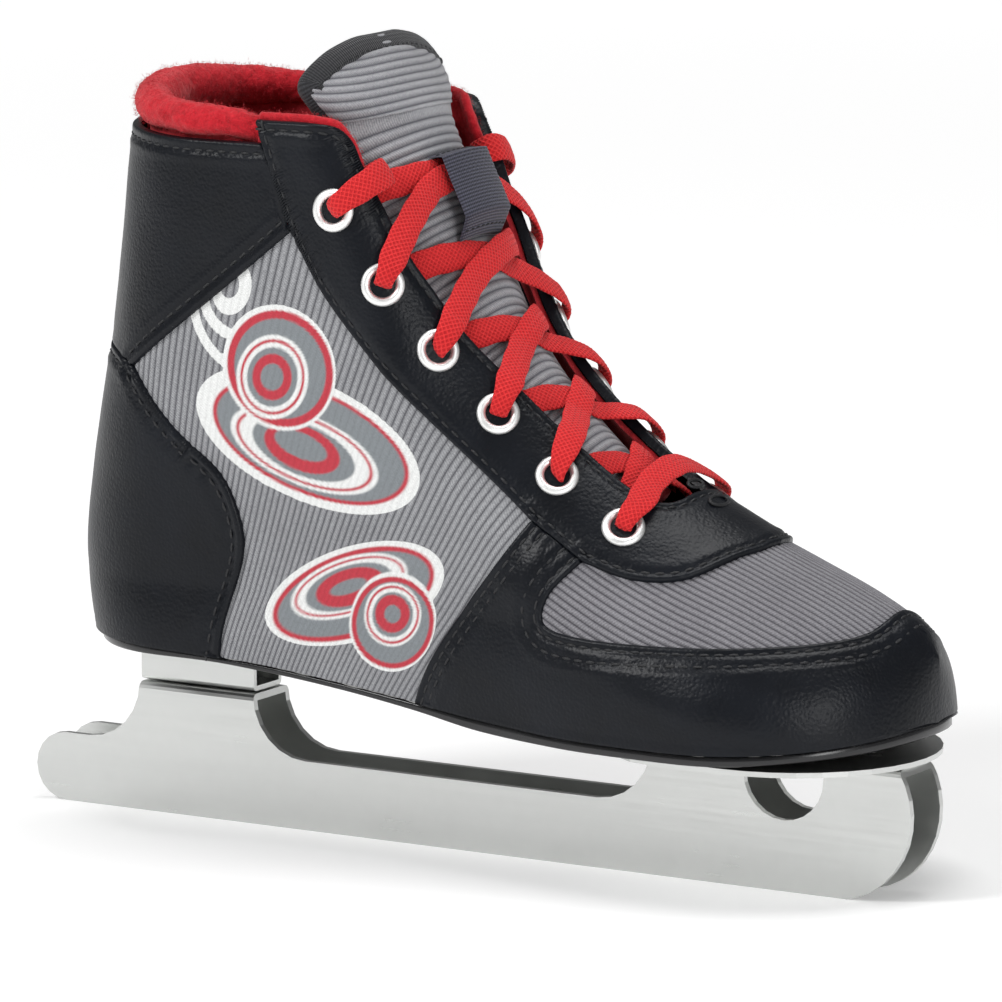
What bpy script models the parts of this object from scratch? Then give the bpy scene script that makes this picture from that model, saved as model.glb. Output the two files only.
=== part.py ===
"""Child's double-runner ice skate for the right foot.

+X runs to the toe, +Y to the inner side of the foot and +Z up. The ice is z = 0, the runner's
mid-plane is y = 0, and x = 0 is half way along the skate. Sizes are in millimetres and are
turned into metres where a mesh is made.
"""
import math

import bmesh
import bpy
import numpy as np
from mathutils import Matrix, Vector

MM = 0.001
GAP = 0.3                      # clearance between two pieces that touch

# Double runner: one folded aluminium sheet whose two legs are the runners
RUNNER_WIDTH = 15.4
SHEET = 1.6
RUNNER_TOP = 30.8
RAIL_TOP = 16.4
TAIL_RADIUS = 8.2
NOSE_RADIUS = 20.3
FILLET = RUNNER_TOP - RAIL_TOP
TAIL_X = -109.6                # centre of the rounded tail
NOSE_X = 97.6                  # centre of the rounded nose
NOSE_Z = 19.9
HEEL_BRIDGE = (-88.5, -56.8)
FRONT_BRIDGE = (50.8, 114.6)
TOE_HOLE_X = 85.15
TOE_HOLE_RADIUS = 10.4

# Mounting hardware
SPACER_X = (-89.0, -57.6)
SPACER_WIDTH = 12.0
SPACER_WALL = 1.2
HEEL_SOLE_Z = 42.4
PLATE_THICKNESS = 1.2
PLATE_NOSE = (82.4, 2.0, 34.0)    # centre x, centre y and radius of the round nose
PLATE_REAR_X = 50.0
RIVET_RADIUS = 1.6
RIVET_HEAD = 2.8
RIVET_HEIGHT = 1.3
RIVET_SIDES = 14
HEEL_RIVETS = (-80.0, -66.0)
FRONT_RIVETS = (62.0, 104.5)
PLATE_CORNER = 14.0

# Upper: heights over the last's surface of each layer's two faces
LEATHER = (1.0, -1.3)
KNIT = (0.0, -1.3)
STIFFENER = (-1.7, -2.8)
LINING = (-3.2, -4.4)

# Stations round the boot, toe to heel: a point on the sole seam and one on the top ridge (x, z)
FOOT_STATIONS = [
    ((116.0, 39.8), (116.2, 54.5)),
    ((110.5, 38.4), (111.2, 62.0)),
    ((98.0, 36.7), (99.5, 68.6)),
    ((80.0, 35.6), (84.0, 75.2)),
    ((60.0, 35.4), (68.0, 82.2)),
    ((40.0, 35.6), (53.0, 90.5)),
    ((17.0, 37.0), (38.0, 101.0)),
    ((0.0, 38.7), (23.5, 113.5)),
    ((-22.0, 41.2), (12.5, 126.0)),
    ((-45.0, 43.6), (5.5, 137.5)),
    ((-72.0, 44.9), (0.5, 148.0)),
    ((-98.0, 45.6), (-3.5, 156.0)),
]
# Stations up the shaft: a point on the back seam and one on the front ridge
SHAFT_STATIONS = [
    ((-98.0, 45.6), (-3.5, 156.0)),
    ((-100.4, 64.0), (-5.8, 161.0)),
    ((-97.8, 84.0), (-7.6, 165.0)),
    ((-93.2, 108.0), (-9.0, 168.0)),
    ((-89.2, 134.0), (-10.0, 170.5)),
    ((-85.6, 172.0), (-11.8, 174.5)),
    ((-85.0, 190.0), (-25.5, 189.0)),
]
TOE_X = 116.0
SHAFT_HALF_WIDTH = 33.0
HEEL_ROUNDING = 30.0
TOE_ROUNDING = 44.0
SOLE_HALF_WIDTH = [(-98, 29.0), (-60, 29.5), (-25, 28.0), (0, 28.8), (25, 31.8), (50, 35.8),
                   (75, 38.2), (95, 38.5), (118, 38.5)]
TOE_SWING = [(-98, 0.0), (-20, 0.0), (40, 0.6), (80, 3.0), (118, 6.0)]
SOLE_BOTTOM = [(-98, 42.9), (-88, HEEL_SOLE_Z), (-56, HEEL_SOLE_Z), (-40, 41.2), (-20, 39.0),
               (0, 36.4), (18, 33.8), (40, 32.7), (60, 32.6), (82, 32.8), (98, 34.0),
               (110, 35.4), (116, 36.6)]

# Seams between the panels, seen from the side (x, z)
HEEL_SEAM = [(-51.5, 30.0), (-51.0, 46.5), (-48.6, 57.0), (-44.9, 69.0), (-45.4, 77.5),
             (-50.0, 87.5), (-62.0, 97.2), (-74.0, 110.5)]
BACK_SEAM = [(-74.0, 110.5), (-84.0, 113.5), (-112.0, 115.0)]
ANKLE_SEAM = [(-74.0, 110.5), (-60.9, 120.7), (-45.0, 133.0), (-29.5, 145.3)]
FRONT_SEAM = [(-0.5, 30.0), (1.0, 39.0), (6.5, 50.0), (16.5, 64.0), (25.0, 74.5), (31.0, 83.2)]
FLAP_TOP = (-38.8, 170.3)
FLAP_REAR_HIGH = [FLAP_TOP, (-35.2, 160.0), (-29.5, 145.3)]
FLAP_REAR_MID = [(-29.5, 145.3), (-20.0, 130.8), (-5.6, 115.4), (10.5, 100.0), (31.0, 83.2)]
FLAP_REAR_LOW = [(31.0, 83.2), (44.5, 75.0)]
FLAP_REAR_TOE = [(44.5, 75.0), (56.0, 71.7), (67.0, 71.8), (74.7, 75.8), (80.0, 79.0), (84.0, 95.0)]
FLAP_FRONT = [(60.5, 98.0), (57.5, 86.6), (49.2, 88.6), (35.8, 97.6), (22.8, 108.1),
              (9.3, 121.4), (0.8, 133.9), (-6.4, 146.4), (-13.9, 161.0), (-17.0, 167.0),
              (-21.0, 170.1), FLAP_TOP]
COLLAR_LINE = [(-112.0, 166.0), (-85.0, 165.6), (-60.0, 164.9), (-36.9, 165.0)]
TOE_CAP_SEAM = [(44.5, 75.0), (38.4, 67.5), (37.6, 61.2), (46.0, 59.0), (67.5, 58.4),
                (91.0, 59.0), (104.0, 60.4), (107.5, 63.0), (109.5, 72.0)]

# Eyelets down the flap (x, z), from the top one
EYELETS = [(-17.7, 151.1), (-6.4, 134.5), (4.9, 119.5), (18.5, 105.3), (33.7, 92.2), (50.6, 81.6)]
EYELET_HOLE = 2.5
EYELET_FLANGE = 5.0
EYELET_BARREL = 3.0
PUNCH_RADIUS = 3.3

# Tongue
TONGUE_THICKNESS = 4.0
TONGUE_WIDTHS = [(0.40, 10.0), (0.47, 17.5), (0.60, 23.0), (0.80, 26.0), (1.0, 27.0), (1.6, 27.0),
                 (1.9, 28.0), (2.0, 30.5), (2.06, 32.2), (2.10, 32.0), (2.15, 28.7), (2.19, 23.8),
                 (2.22, 18.4), (2.24, 12.2), (2.25, 8.0)]
TONGUE_HINGE = 1.22            # station of the line about which the free top of the tongue bends
TONGUE_JOINT_GAP = 2.2

# Lace
LACE_WIDTH = 5.0
LACE_WIDTH_IN_EYELET = 3.5
LACE_THICKNESS = 1.2
FLAP_CLEARANCE = 1.9           # the lace is under the far flap this long before its edge

# Webbing loop on the tongue
LOOP_Z = (143.5, 162.0)        # heights of its two sewn ends on the front ridge
LOOP_WIDTH = 18.5
LOOP_RISE = 4.6
LOOP_THICKNESS = 1.2


def smooth_curve(knots, points, where):
    """Value at each place in where of the smooth curve through points at knots."""
    knots = np.asarray(knots, float)
    points = np.asarray(points, float)
    where = np.clip(np.asarray(where, float), knots[0], knots[-1])
    before = np.r_[0, np.arange(len(knots) - 1)]
    after = np.r_[np.arange(1, len(knots)), len(knots) - 1]
    span = (knots[after] - knots[before]).reshape((-1,) + (1,) * (points.ndim - 1))
    slopes = (points[after] - points[before]) / span
    k = np.clip(np.searchsorted(knots, where, side="right") - 1, 0, len(knots) - 2)
    step = knots[k + 1] - knots[k]
    s = (where - knots[k]) / step
    if points.ndim > 1:
        step, s = step[..., None], s[..., None]
    return ((2 * s**3 - 3 * s**2 + 1) * points[k] + (s**3 - 2 * s**2 + s) * step * slopes[k]
            + (3 * s**2 - 2 * s**3) * points[k + 1] + (s**3 - s**2) * step * slopes[k + 1])


def through(points, count):
    """A smooth open line of count points through a few given ones."""
    points = np.asarray(points, float)
    steps = np.linalg.norm(points[1:] - points[:-1], axis=1)
    knots = np.r_[0, np.cumsum(np.sqrt(steps))]
    return smooth_curve(knots, points, np.linspace(0, knots[-1], count))


def table(pairs, where):
    """Smooth value of a table of (place, value) pairs."""
    return smooth_curve([p[0] for p in pairs], [p[1] for p in pairs], where)


def station_knots(stations):
    low = np.array([s[0] for s in stations])
    high = np.array([s[1] for s in stations])
    moved = np.linalg.norm(np.diff(low, axis=0), axis=1) + np.linalg.norm(np.diff(high, axis=0), axis=1)
    return np.r_[0, np.cumsum(moved)]


FOOT_KNOTS = station_knots(FOOT_STATIONS) / station_knots(FOOT_STATIONS)[-1]
SHAFT_KNOTS = 1 + station_knots(SHAFT_STATIONS) / station_knots(SHAFT_STATIONS)[-2]


def back_x(z):
    """x of the seam up the back at height z."""
    return smooth_curve([s[0][1] for s in SHAFT_STATIONS], [s[0][0] for s in SHAFT_STATIONS], z)


def section_ends(v):
    """Lower and upper end (x, z) of section v: 0 at the toe, 1 at the heel, 2 at the collar."""
    v = np.asarray(v, float)
    in_shaft = (v > 1)[..., None]
    ends = []
    for k in (0, 1):
        foot = smooth_curve(FOOT_KNOTS, [s[k] for s in FOOT_STATIONS], np.clip(v, 0, 1))
        shaft = smooth_curve(SHAFT_KNOTS, [s[k] for s in SHAFT_STATIONS], np.clip(v, 1, 3))
        if k == 0:
            shaft[..., 0] = back_x(shaft[..., 1])
        ends.append(np.where(in_shaft, shaft, foot))
    return ends


def rounding(t, power):
    """0 at t = 0, 1 from t = 1, with a round shoulder between."""
    t = np.clip(t, 0, 1)
    return (1 - (1 - t)**power)**(1 / power)


def last_point(v, a):
    """Side view x, z and half width y of the last at section v, a from its lower end to the top."""
    low, high = section_ends(v)
    a = np.asarray(a, float)
    x = low[..., 0] + (high[..., 0] - low[..., 0]) * a
    z = low[..., 1] + (high[..., 1] - low[..., 1]) * a
    length = np.linalg.norm(high - low, axis=-1)
    shaft = np.clip((z - 55) / 60, 0, 1) * np.clip((40 - x) / 45, 0, 1)
    shaft = shaft * shaft * (3 - 2 * shaft)
    width = table(SOLE_HALF_WIDTH, x) + np.sin(np.clip((z - 38) / 22, 0, 1) * np.pi)
    width = width * (1 - shaft) + SHAFT_HALF_WIDTH * shaft
    top_round = table([(0, 22), (.15, 32), (.35, 36), (.6, 32), (.85, 22), (1, 19), (1.3, 17), (3, 16)], v)
    power = table([(0, 1.7), (.4, 1.7), (.7, 1.85), (1, 2.0), (3, 2.1)], v)
    y = width * rounding((1 - a) * length / top_round, power)
    y = y * rounding((x - back_x(z)) / HEEL_ROUNDING, 2.0) * rounding((TOE_X - x) / TOE_ROUNDING, 2.1)
    return x, y, z


def centre_line(x, z):
    """The toe swings a little to the inner side; the shaft stands over the runner."""
    return table(TOE_SWING, x) * np.clip((115 - z) / 60, 0, 1)


def rise(t):
    """Share of a section's length reached at t: 1 is the top ridge (t = 0), 0 the edge (t = 1)."""
    return np.sin(0.5 * np.pi * (1 - np.abs(t)))**2


def skin(v, t, height=0.0):
    """Point of the boot at section v and t from -1 (outer side's edge) over 0 (ridge) to 1."""
    v, t, height = np.broadcast_arrays(np.asarray(v, float), np.asarray(t, float), height)

    def surface(v, t):
        x, y, z = last_point(v, rise(t))
        return np.stack([x, centre_line(x, z) + np.sign(t) * y, z], -1)

    tiny = 1e-4
    v_in = np.clip(v, 0.002, 2.44)
    t_in = np.clip(np.where(v < 1e-6, np.abs(t), t), -0.995, 0.995)
    along = surface(v_in + tiny, t_in) - surface(v_in - tiny, t_in)
    across = surface(v_in, t_in + tiny) - surface(v_in, t_in - tiny)
    normal = np.cross(across, along)
    on_seam = (v < 1e-6) | ((v > 0.999) & (np.abs(t) > 0.999))
    normal[..., 1] = np.where(on_seam, 0.0, normal[..., 1])
    normal /= np.linalg.norm(normal, axis=-1, keepdims=True)
    return surface(v, t) + normal * height[..., None], normal


def locate(x, z):
    """Section v and t (0 to 1) of the side-view point x, z."""
    low_v, high_v = 0.0, 2.45
    for _ in range(40):
        v = 0.5 * (low_v + high_v)
        low, high = section_ends(v)
        side = (high[0] - low[0]) * (z - low[1]) - (high[1] - low[1]) * (x - low[0])
        if side > 0:
            low_v = v
        else:
            high_v = v
    a = np.dot([x - low[0], z - low[1]], high - low) / np.dot(high - low, high - low)
    return v, 1 - 2 / np.pi * math.asin(math.sqrt(min(max(a, 0), 1)))


# ---------------------------------------------------------------- making objects

def clear_scene():
    for obj in list(bpy.data.objects):
        bpy.data.objects.remove(obj, do_unlink=True)


def new_collection(name):
    collection = bpy.data.collections.new(name)
    bpy.context.scene.collection.children.link(collection)
    return collection


clear_scene()
PARTS = new_collection("double_runner_skate")
CUTTERS = new_collection("cutters")


def material(name, colour, roughness, metallic=0.0):
    mat = bpy.data.materials.get(name) or bpy.data.materials.new(name)
    mat.use_nodes = True
    shader = mat.node_tree.nodes["Principled BSDF"]
    shader.inputs["Base Color"].default_value = (*colour, 1)
    shader.inputs["Roughness"].default_value = roughness
    shader.inputs["Metallic"].default_value = metallic
    return mat


ALUMINIUM = material("satin_aluminium", (0.80, 0.81, 0.79), 0.35, 1.0)
STEEL = material("zinc_plated_steel", (0.62, 0.62, 0.60), 0.4, 1.0)
BLACK_LEATHER = material("black_leather", (0.016, 0.018, 0.02), 0.42)
GREY_KNIT = material("grey_ribbed_knit", (0.24, 0.24, 0.26), 0.85)
BLACK_RUBBER = material("black_sole", (0.014, 0.014, 0.015), 0.3)
RED_FLEECE = material("red_fleece", (0.55, 0.03, 0.05), 0.95)
RED_LACE = material("red_lace", (0.60, 0.01, 0.02), 0.8)
WEBBING = material("navy_webbing", (0.04, 0.04, 0.07), 0.8)
BOARD = material("fibre_board", (0.35, 0.26, 0.17), 0.9)
EYELET_METAL = material("eyelet_metal", (0.85, 0.85, 0.86), 0.3, 1.0)
LACE_TIP = material("lace_tip_plastic", (0.45, 0.02, 0.03), 0.3)


def add_mesh(name, vertices, faces, mat=None, collection=None):
    """A mesh object from points in millimetres; closed meshes are turned face out."""
    mesh = bpy.data.meshes.new(name)
    mesh.from_pydata([tuple(float(c) * MM for c in p) for p in vertices], [], faces)
    obj = bpy.data.objects.new(name, mesh)
    (collection or PARTS).objects.link(obj)
    work = bmesh.new()
    work.from_mesh(mesh)
    bmesh.ops.remove_doubles(work, verts=work.verts, dist=0.02 * MM)
    if not any(edge.is_boundary for edge in work.edges):
        bmesh.ops.recalc_face_normals(work, faces=work.faces)
    work.to_mesh(mesh)
    work.free()
    if mat:
        mesh.materials.append(mat)
        mesh.shade_smooth()
        mesh.set_sharp_from_angle(angle=math.radians(35))
    return obj


def closed_sheet(name, outer, inner, mat):
    """A closed solid between two grids of points of the same shape (rows, columns, 3)."""
    rows, wide = outer.shape[:2]

    def corner(level, i, k):
        return level * rows * wide + i * wide + k

    def wall(start, end):
        return [corner(0, *start), corner(0, *end), corner(1, *end), corner(1, *start)]

    faces = []
    for i in range(rows - 1):
        for k in range(wide - 1):
            for level in (0, 1):
                faces.append([corner(level, i, k), corner(level, i, k + 1),
                              corner(level, i + 1, k + 1), corner(level, i + 1, k)])
        faces += [wall((i, k), (i + 1, k)) for k in (0, wide - 1)]
    for k in range(wide - 1):
        faces += [wall((i, k), (i, k + 1)) for i in (0, rows - 1)]
    return add_mesh(name, np.vstack([outer.reshape(-1, 3), inner.reshape(-1, 3)]), faces, mat)


def make_cutter(obj):
    for owner in list(obj.users_collection):
        owner.objects.unlink(obj)
    CUTTERS.objects.link(obj)
    obj.hide_render = True
    obj.display_type = "WIRE"
    return obj


def boolean(obj, cutter, operation="DIFFERENCE"):
    modifier = obj.modifiers.new(operation.lower(), "BOOLEAN")
    modifier.operation = operation
    modifier.solver = "EXACT"
    modifier.object = cutter
    return obj


def prism(name, outline, low, high, axis="Y", collection=None, mat=None):
    """A flat outline given a thickness from low to high along Y (outline x, z) or Z (outline x, y)."""
    count = len(outline)

    def place(p, depth):
        return (p[0], depth, p[1]) if axis == "Y" else (p[0], p[1], depth)

    vertices = [place(p, low) for p in outline] + [place(p, high) for p in outline]
    faces = [list(range(count)), list(range(count, 2 * count))]
    faces += [[i, (i + 1) % count, count + (i + 1) % count, count + i] for i in range(count)]
    return add_mesh(name, vertices, faces, mat, collection)


def box(name, low, high, mat=None):
    bpy.ops.mesh.primitive_cube_add(size=1)
    obj = bpy.context.object
    obj.name = obj.data.name = name
    for owner in list(obj.users_collection):
        owner.objects.unlink(obj)
    PARTS.objects.link(obj)
    middle = Vector((np.array(low) + np.array(high)) / 2 * MM)
    size = Vector((np.array(high) - np.array(low)) * MM)
    obj.data.transform(Matrix.Translation(middle) @ Matrix.Diagonal((*size, 1)))
    if mat:
        obj.data.materials.append(mat)
    return obj


def turned(name, profile, mat, segments=16, closed=True):
    """A profile (radius, height) turned round Z with a Screw modifier; an open one ends on the axis."""
    count = len(profile)
    edges = [(i, (i + 1) % count) for i in range(count if closed else count - 1)]
    mesh = bpy.data.meshes.new(name)
    mesh.from_pydata([(r * MM, 0, h * MM) for r, h in profile], edges, [])
    mesh.materials.append(mat)
    obj = bpy.data.objects.new(name, mesh)
    PARTS.objects.link(obj)
    screw = obj.modifiers.new("turn", "SCREW")
    screw.steps = segments
    screw.render_steps = segments
    screw.use_merge_vertices = True
    screw.merge_threshold = 0.00002
    screw.use_normal_calculate = True
    return obj


def arc(centre, radius, start, end, count):
    angles = np.radians(np.linspace(start, end, count))
    return [(centre[0] + radius * math.cos(a), centre[1] + radius * math.sin(a)) for a in angles]


# ---------------------------------------------------------------- runner and mounting

def runner_outline():
    line = arc((NOSE_X, NOSE_Z), NOSE_RADIUS, -78.6, 32.5, 12)
    line += arc((FRONT_BRIDGE[0] - FILLET, RUNNER_TOP), FILLET, 0, -90, 7)
    line += arc((HEEL_BRIDGE[1] + FILLET, RUNNER_TOP), FILLET, -90, -180, 7)
    line += arc((HEEL_BRIDGE[0] - FILLET, RUNNER_TOP), FILLET, 0, -90, 7)
    line += arc((TAIL_X, RAIL_TOP - TAIL_RADIUS), TAIL_RADIUS, 90, 270, 11)
    return line


def build_runner():
    half = RUNNER_WIDTH / 2
    runner = box("double_runner", (-130, -half, -6), (130, half, RUNNER_TOP), ALUMINIUM)
    edges = runner.modifiers.new("folds", "BEVEL")
    edges.width = 1.5 * MM
    edges.segments = 3
    edges.limit_method = "WEIGHT"
    weights = runner.data.attributes.new("bevel_weight_edge", "FLOAT", "EDGE")
    for edge in runner.data.edges:
        ends = [runner.data.vertices[i].co for i in edge.vertices]
        along_x = abs(ends[0].x - ends[1].x) > 0.01
        if along_x and min(end.z for end in ends) > 0.03:
            weights.data[edge.index].value = 1.0
    boolean(runner, make_cutter(prism("runner_side", runner_outline(), -20, 20)), "INTERSECT")
    inside = box("runner_inside", (-140, -half + SHEET, -10), (140, half - SHEET, RUNNER_TOP - SHEET))
    boolean(runner, make_cutter(inside))
    hole = arc((TOE_HOLE_X, RAIL_TOP + TOE_HOLE_RADIUS), TOE_HOLE_RADIUS, 180, 360, 13)
    hole += [(TOE_HOLE_X + TOE_HOLE_RADIUS, 40), (TOE_HOLE_X - TOE_HOLE_RADIUS, 40)]
    boolean(runner, make_cutter(prism("toe_hole", hole, -20, 20)))
    return runner


def punch(name, x, y, low, high, radius):
    return make_cutter(prism(name, arc((x, y), radius, 0, 337.5, 16), low, high, "Z"))


def rivet(name, x, low, high):
    """A rivet on the mid-plane through the sheets from low to high, with a head at each end."""
    upper, lower = high + GAP, low - GAP
    shoulder = RIVET_HEIGHT * 0.45
    profile = [(0.0, upper + RIVET_HEIGHT), (RIVET_HEAD * 0.6, upper + RIVET_HEIGHT),
               (RIVET_HEAD, upper + shoulder), (RIVET_HEAD, upper), (RIVET_RADIUS, upper),
               (RIVET_RADIUS, lower), (RIVET_HEAD, lower), (RIVET_HEAD, lower - shoulder),
               (RIVET_HEAD * 0.6, lower - RIVET_HEIGHT), (0.0, lower - RIVET_HEIGHT)]
    obj = turned(name, profile, STEEL, RIVET_SIDES, closed=False)
    obj.location.x = x * MM


def flush_rivet(name, x, low, high):
    """A rivet whose top is flush with the sheet under the sole and whose head is below."""
    lower = low - GAP
    profile = [(0.0, high), (RIVET_RADIUS, high), (RIVET_RADIUS, lower), (RIVET_HEAD, lower),
               (RIVET_HEAD, lower - RIVET_HEIGHT * 0.45), (RIVET_HEAD * 0.6, lower - RIVET_HEIGHT),
               (0.0, lower - RIVET_HEIGHT)]
    obj = turned(name, profile, STEEL, RIVET_SIDES, closed=False)
    obj.location.x = x * MM


def build_mounting(runner):
    low = RUNNER_TOP + GAP
    spacer = box("heel_spacer", (SPACER_X[0], -SPACER_WIDTH / 2, low),
                 (SPACER_X[1], SPACER_WIDTH / 2, HEEL_SOLE_Z - GAP), ALUMINIUM)
    weights = spacer.data.attributes.new("bevel_weight_edge", "FLOAT", "EDGE")
    for edge in spacer.data.edges:
        ends = [spacer.data.vertices[i].co for i in edge.vertices]
        weights.data[edge.index].value = 1.0 if abs(ends[0].x - ends[1].x) > 0.01 else 0.0
    corners = spacer.modifiers.new("corners", "BEVEL")
    corners.width = 1.0 * MM
    corners.segments = 2
    corners.limit_method = "WEIGHT"
    inside = box("spacer_inside", (SPACER_X[0] - 5, -SPACER_WIDTH / 2 + SPACER_WALL, low + SPACER_WALL),
                 (SPACER_X[1] + 5, SPACER_WIDTH / 2 - SPACER_WALL, HEEL_SOLE_Z - GAP - SPACER_WALL))
    boolean(spacer, make_cutter(inside))

    cx, cy, radius = PLATE_NOSE
    outline = arc((cx, cy), radius, -90, 90, 19)
    corner_x = PLATE_REAR_X + PLATE_CORNER
    outline += arc((corner_x, cy + radius - PLATE_CORNER), PLATE_CORNER, 90, 180, 5)
    outline += arc((corner_x, cy - radius + PLATE_CORNER), PLATE_CORNER, 180, 270, 5)
    plate = prism("front_plate", outline, low, low + PLATE_THICKNESS, "Z", mat=ALUMINIUM)

    web = RUNNER_TOP - SHEET
    for k, x in enumerate(HEEL_RIVETS):
        cut = punch(f"heel_punch_{k + 1}", x, 0, web - 3, low + SPACER_WALL + 3, RIVET_RADIUS + GAP)
        boolean(runner, cut)
        boolean(spacer, cut)
        rivet(f"heel_rivet_{k + 1}", x, web, low + SPACER_WALL)
    for k, x in enumerate(FRONT_RIVETS):
        cut = punch(f"front_punch_{k + 1}", x, 0, web - 3, low + 3, RIVET_RADIUS + GAP)
        boolean(runner, cut)
        boolean(plate, cut)
        flush_rivet(f"front_rivet_{k + 1}", x, web, low + PLATE_THICKNESS)


# ---------------------------------------------------------------- sole

def slab(name, inset, top, bottom, mat, count=30):
    """A plate with the sole's outline, inset all round; top and bottom give z at each x."""
    turn = np.linspace(0, np.pi, count)
    x = 0.5 * (TOE_X - 98.0) - 0.5 * (TOE_X + 98.0) * np.cos(turn)
    half = table(SOLE_HALF_WIDTH, x)
    half = half * rounding((x + 98.0) / HEEL_ROUNDING, 2.0) * rounding((TOE_X - x) / TOE_ROUNDING, 2.1)
    shrink = 1 - 2 * inset / (TOE_X + 98.0)
    middle = 0.5 * (TOE_X - 98.0)
    x = middle + (x - middle) * shrink
    half = half * (1 - inset / 33.0)
    y = table(TOE_SWING, x)
    across = np.array([-1.0, -0.45, 0.45, 1.0])
    faces = [np.stack([np.stack([x, y + half * c, level(x)], 1) for c in across], 1)
             for level in (top, bottom)]
    return closed_sheet(name, faces[0], faces[1], mat)


def seam_height(x):
    low = np.array([s[0] for s in FOOT_STATIONS])[::-1]
    return smooth_curve(low[:, 0], low[:, 1], x)


def build_sole():
    slab("outsole", 0.0, lambda x: seam_height(x) - GAP, lambda x: table(SOLE_BOTTOM, x), BLACK_RUBBER)
    slab("insole_board", 6.0, lambda x: seam_height(x) + 1.8, lambda x: seam_height(x), BOARD, 24)
    slab("footbed", 6.5, lambda x: seam_height(x) + 5.0, lambda x: seam_height(x) + 2.1, BLACK_RUBBER, 24)


# ---------------------------------------------------------------- upper

def section_places(count):
    """Sections from toe to collar, closer together at the toe and at the heel corner."""
    foot = np.linspace(0, 1, count)
    foot = np.where(foot < 0.5, 0.5 * (2 * foot)**1.4, 1 - 0.5 * (2 - 2 * foot)**1.4)
    shaft = 1 + np.linspace(0, 1.03, count // 3)[1:]**1.4
    return np.r_[foot, shaft]


def boot_shell(name, faces_at, mat, count=26, across=11):
    """The whole upper as one closed shell between two heights over the last."""
    v = section_places(count)
    t = np.linspace(-1, 1, 2 * across - 1)
    t = np.sign(t) * np.abs(t)**1.4             # closer together over the ridge
    wide = len(t)
    points = [skin(v[:, None], t[None, :], height)[0].reshape(-1, 3) for height in faces_at]
    inside = len(points[0])
    faces = []
    for i in range(len(v) - 1):
        for k in range(wide - 1):
            a, b, c, d = i * wide + k, i * wide + k + 1, (i + 1) * wide + k + 1, (i + 1) * wide + k
            halves = [[a, b, d], [b, c, d]] if k < across - 1 else [[a, b, c], [a, c, d]]
            faces += halves + [[inside + corner for corner in half[::-1]] for half in halves]
        if v[i + 1] <= 1:
            for a in (i * wide, i * wide + wide - 1):
                faces.append([a, a + wide, inside + a + wide, inside + a])
    top = (len(v) - 1) * wide
    faces += [[top + k, top + k + 1, inside + top + k + 1, inside + top + k] for k in range(wide - 1)]
    return add_mesh(name, np.vstack(points), faces, mat)


def inset_outline(outline, distance):
    """A closed outline moved inwards by distance."""
    points = np.asarray(outline, float)
    area = 0.5 * np.sum(points[:, 0] * np.roll(points[:, 1], -1) - np.roll(points[:, 0], -1) * points[:, 1])
    ahead = np.roll(points, -1, axis=0) - points
    ahead /= np.linalg.norm(ahead, axis=1, keepdims=True)
    left = np.stack([-ahead[:, 1], ahead[:, 0]], 1) * np.sign(area)
    corner = left + np.roll(left, 1, axis=0)
    corner /= np.maximum(np.sum(corner * left, axis=1, keepdims=True), 0.35)
    return points + corner * distance


def joined(*lines):
    """Lines end to end as one closed outline, shared end points once."""
    outline = []
    for line in lines:
        for point in line:
            if not outline or np.linalg.norm(np.subtract(point, outline[-1])) > 0.5:
                outline.append(tuple(float(c) for c in point))
    if np.linalg.norm(np.subtract(outline[0], outline[-1])) < 0.5:
        outline.pop()
    return outline


HEEL = through(HEEL_SEAM, 15)
BACK = through(BACK_SEAM, 4)
ANKLE = through(ANKLE_SEAM, 6)
FRONT = through(FRONT_SEAM, 9)
REAR_HIGH = through(FLAP_REAR_HIGH, 4)
REAR_MID = through(FLAP_REAR_MID, 10)
REAR_LOW = through(FLAP_REAR_LOW, 4)
REAR_TOE = through(FLAP_REAR_TOE, 10)
FLAP_EDGE = through(FLAP_FRONT, 26)
COLLAR = through(COLLAR_LINE, 7)
TOE_CAP = through(TOE_CAP_SEAM, 20)


ROUND_THE_TOE = [(109.5, 90), (130, 90), (130, 20), (0, 20)]


def build_panels():
    """The outer panels, each cut from a shell of its own thickness."""
    outlines = {
        "heel_cover": (LEATHER, BLACK_LEATHER, joined(HEEL, BACK, [(-112, 30)])),
        "ankle_panel": (LEATHER, BLACK_LEATHER,
                        joined(BACK[::-1], ANKLE, REAR_HIGH[::-1][:3], COLLAR[::-1])),
        "quarter": (KNIT, GREY_KNIT, joined(HEEL, ANKLE, REAR_MID, FRONT[::-1])),
        "toe_cap": (LEATHER, BLACK_LEATHER, joined(FRONT, REAR_LOW, TOE_CAP, ROUND_THE_TOE)),
        "vamp": (KNIT, GREY_KNIT, joined(TOE_CAP, [(109.5, 95)], REAR_TOE[::-1])),
        "eyestay": (LEATHER, BLACK_LEATHER, joined(REAR_HIGH, REAR_MID, REAR_LOW, REAR_TOE, FLAP_EDGE)),
    }
    made = {}
    for name, (faces_at, mat, outline) in outlines.items():
        shape = inset_outline(outline, GAP / 2)
        if name == "quarter":
            for side, low, high in (("quarter_outer", -60, 0), ("quarter_inner", 0, 60)):
                shell = boot_shell(side, faces_at, mat)
                boolean(shell, make_cutter(prism(side + "_outline", shape, low, high)), "INTERSECT")
                made[side] = shell
            continue
        made[name] = boot_shell(name, faces_at, mat)
        boolean(made[name], make_cutter(prism(name + "_outline", shape, -60, 60)), "INTERSECT")
    return made


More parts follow.
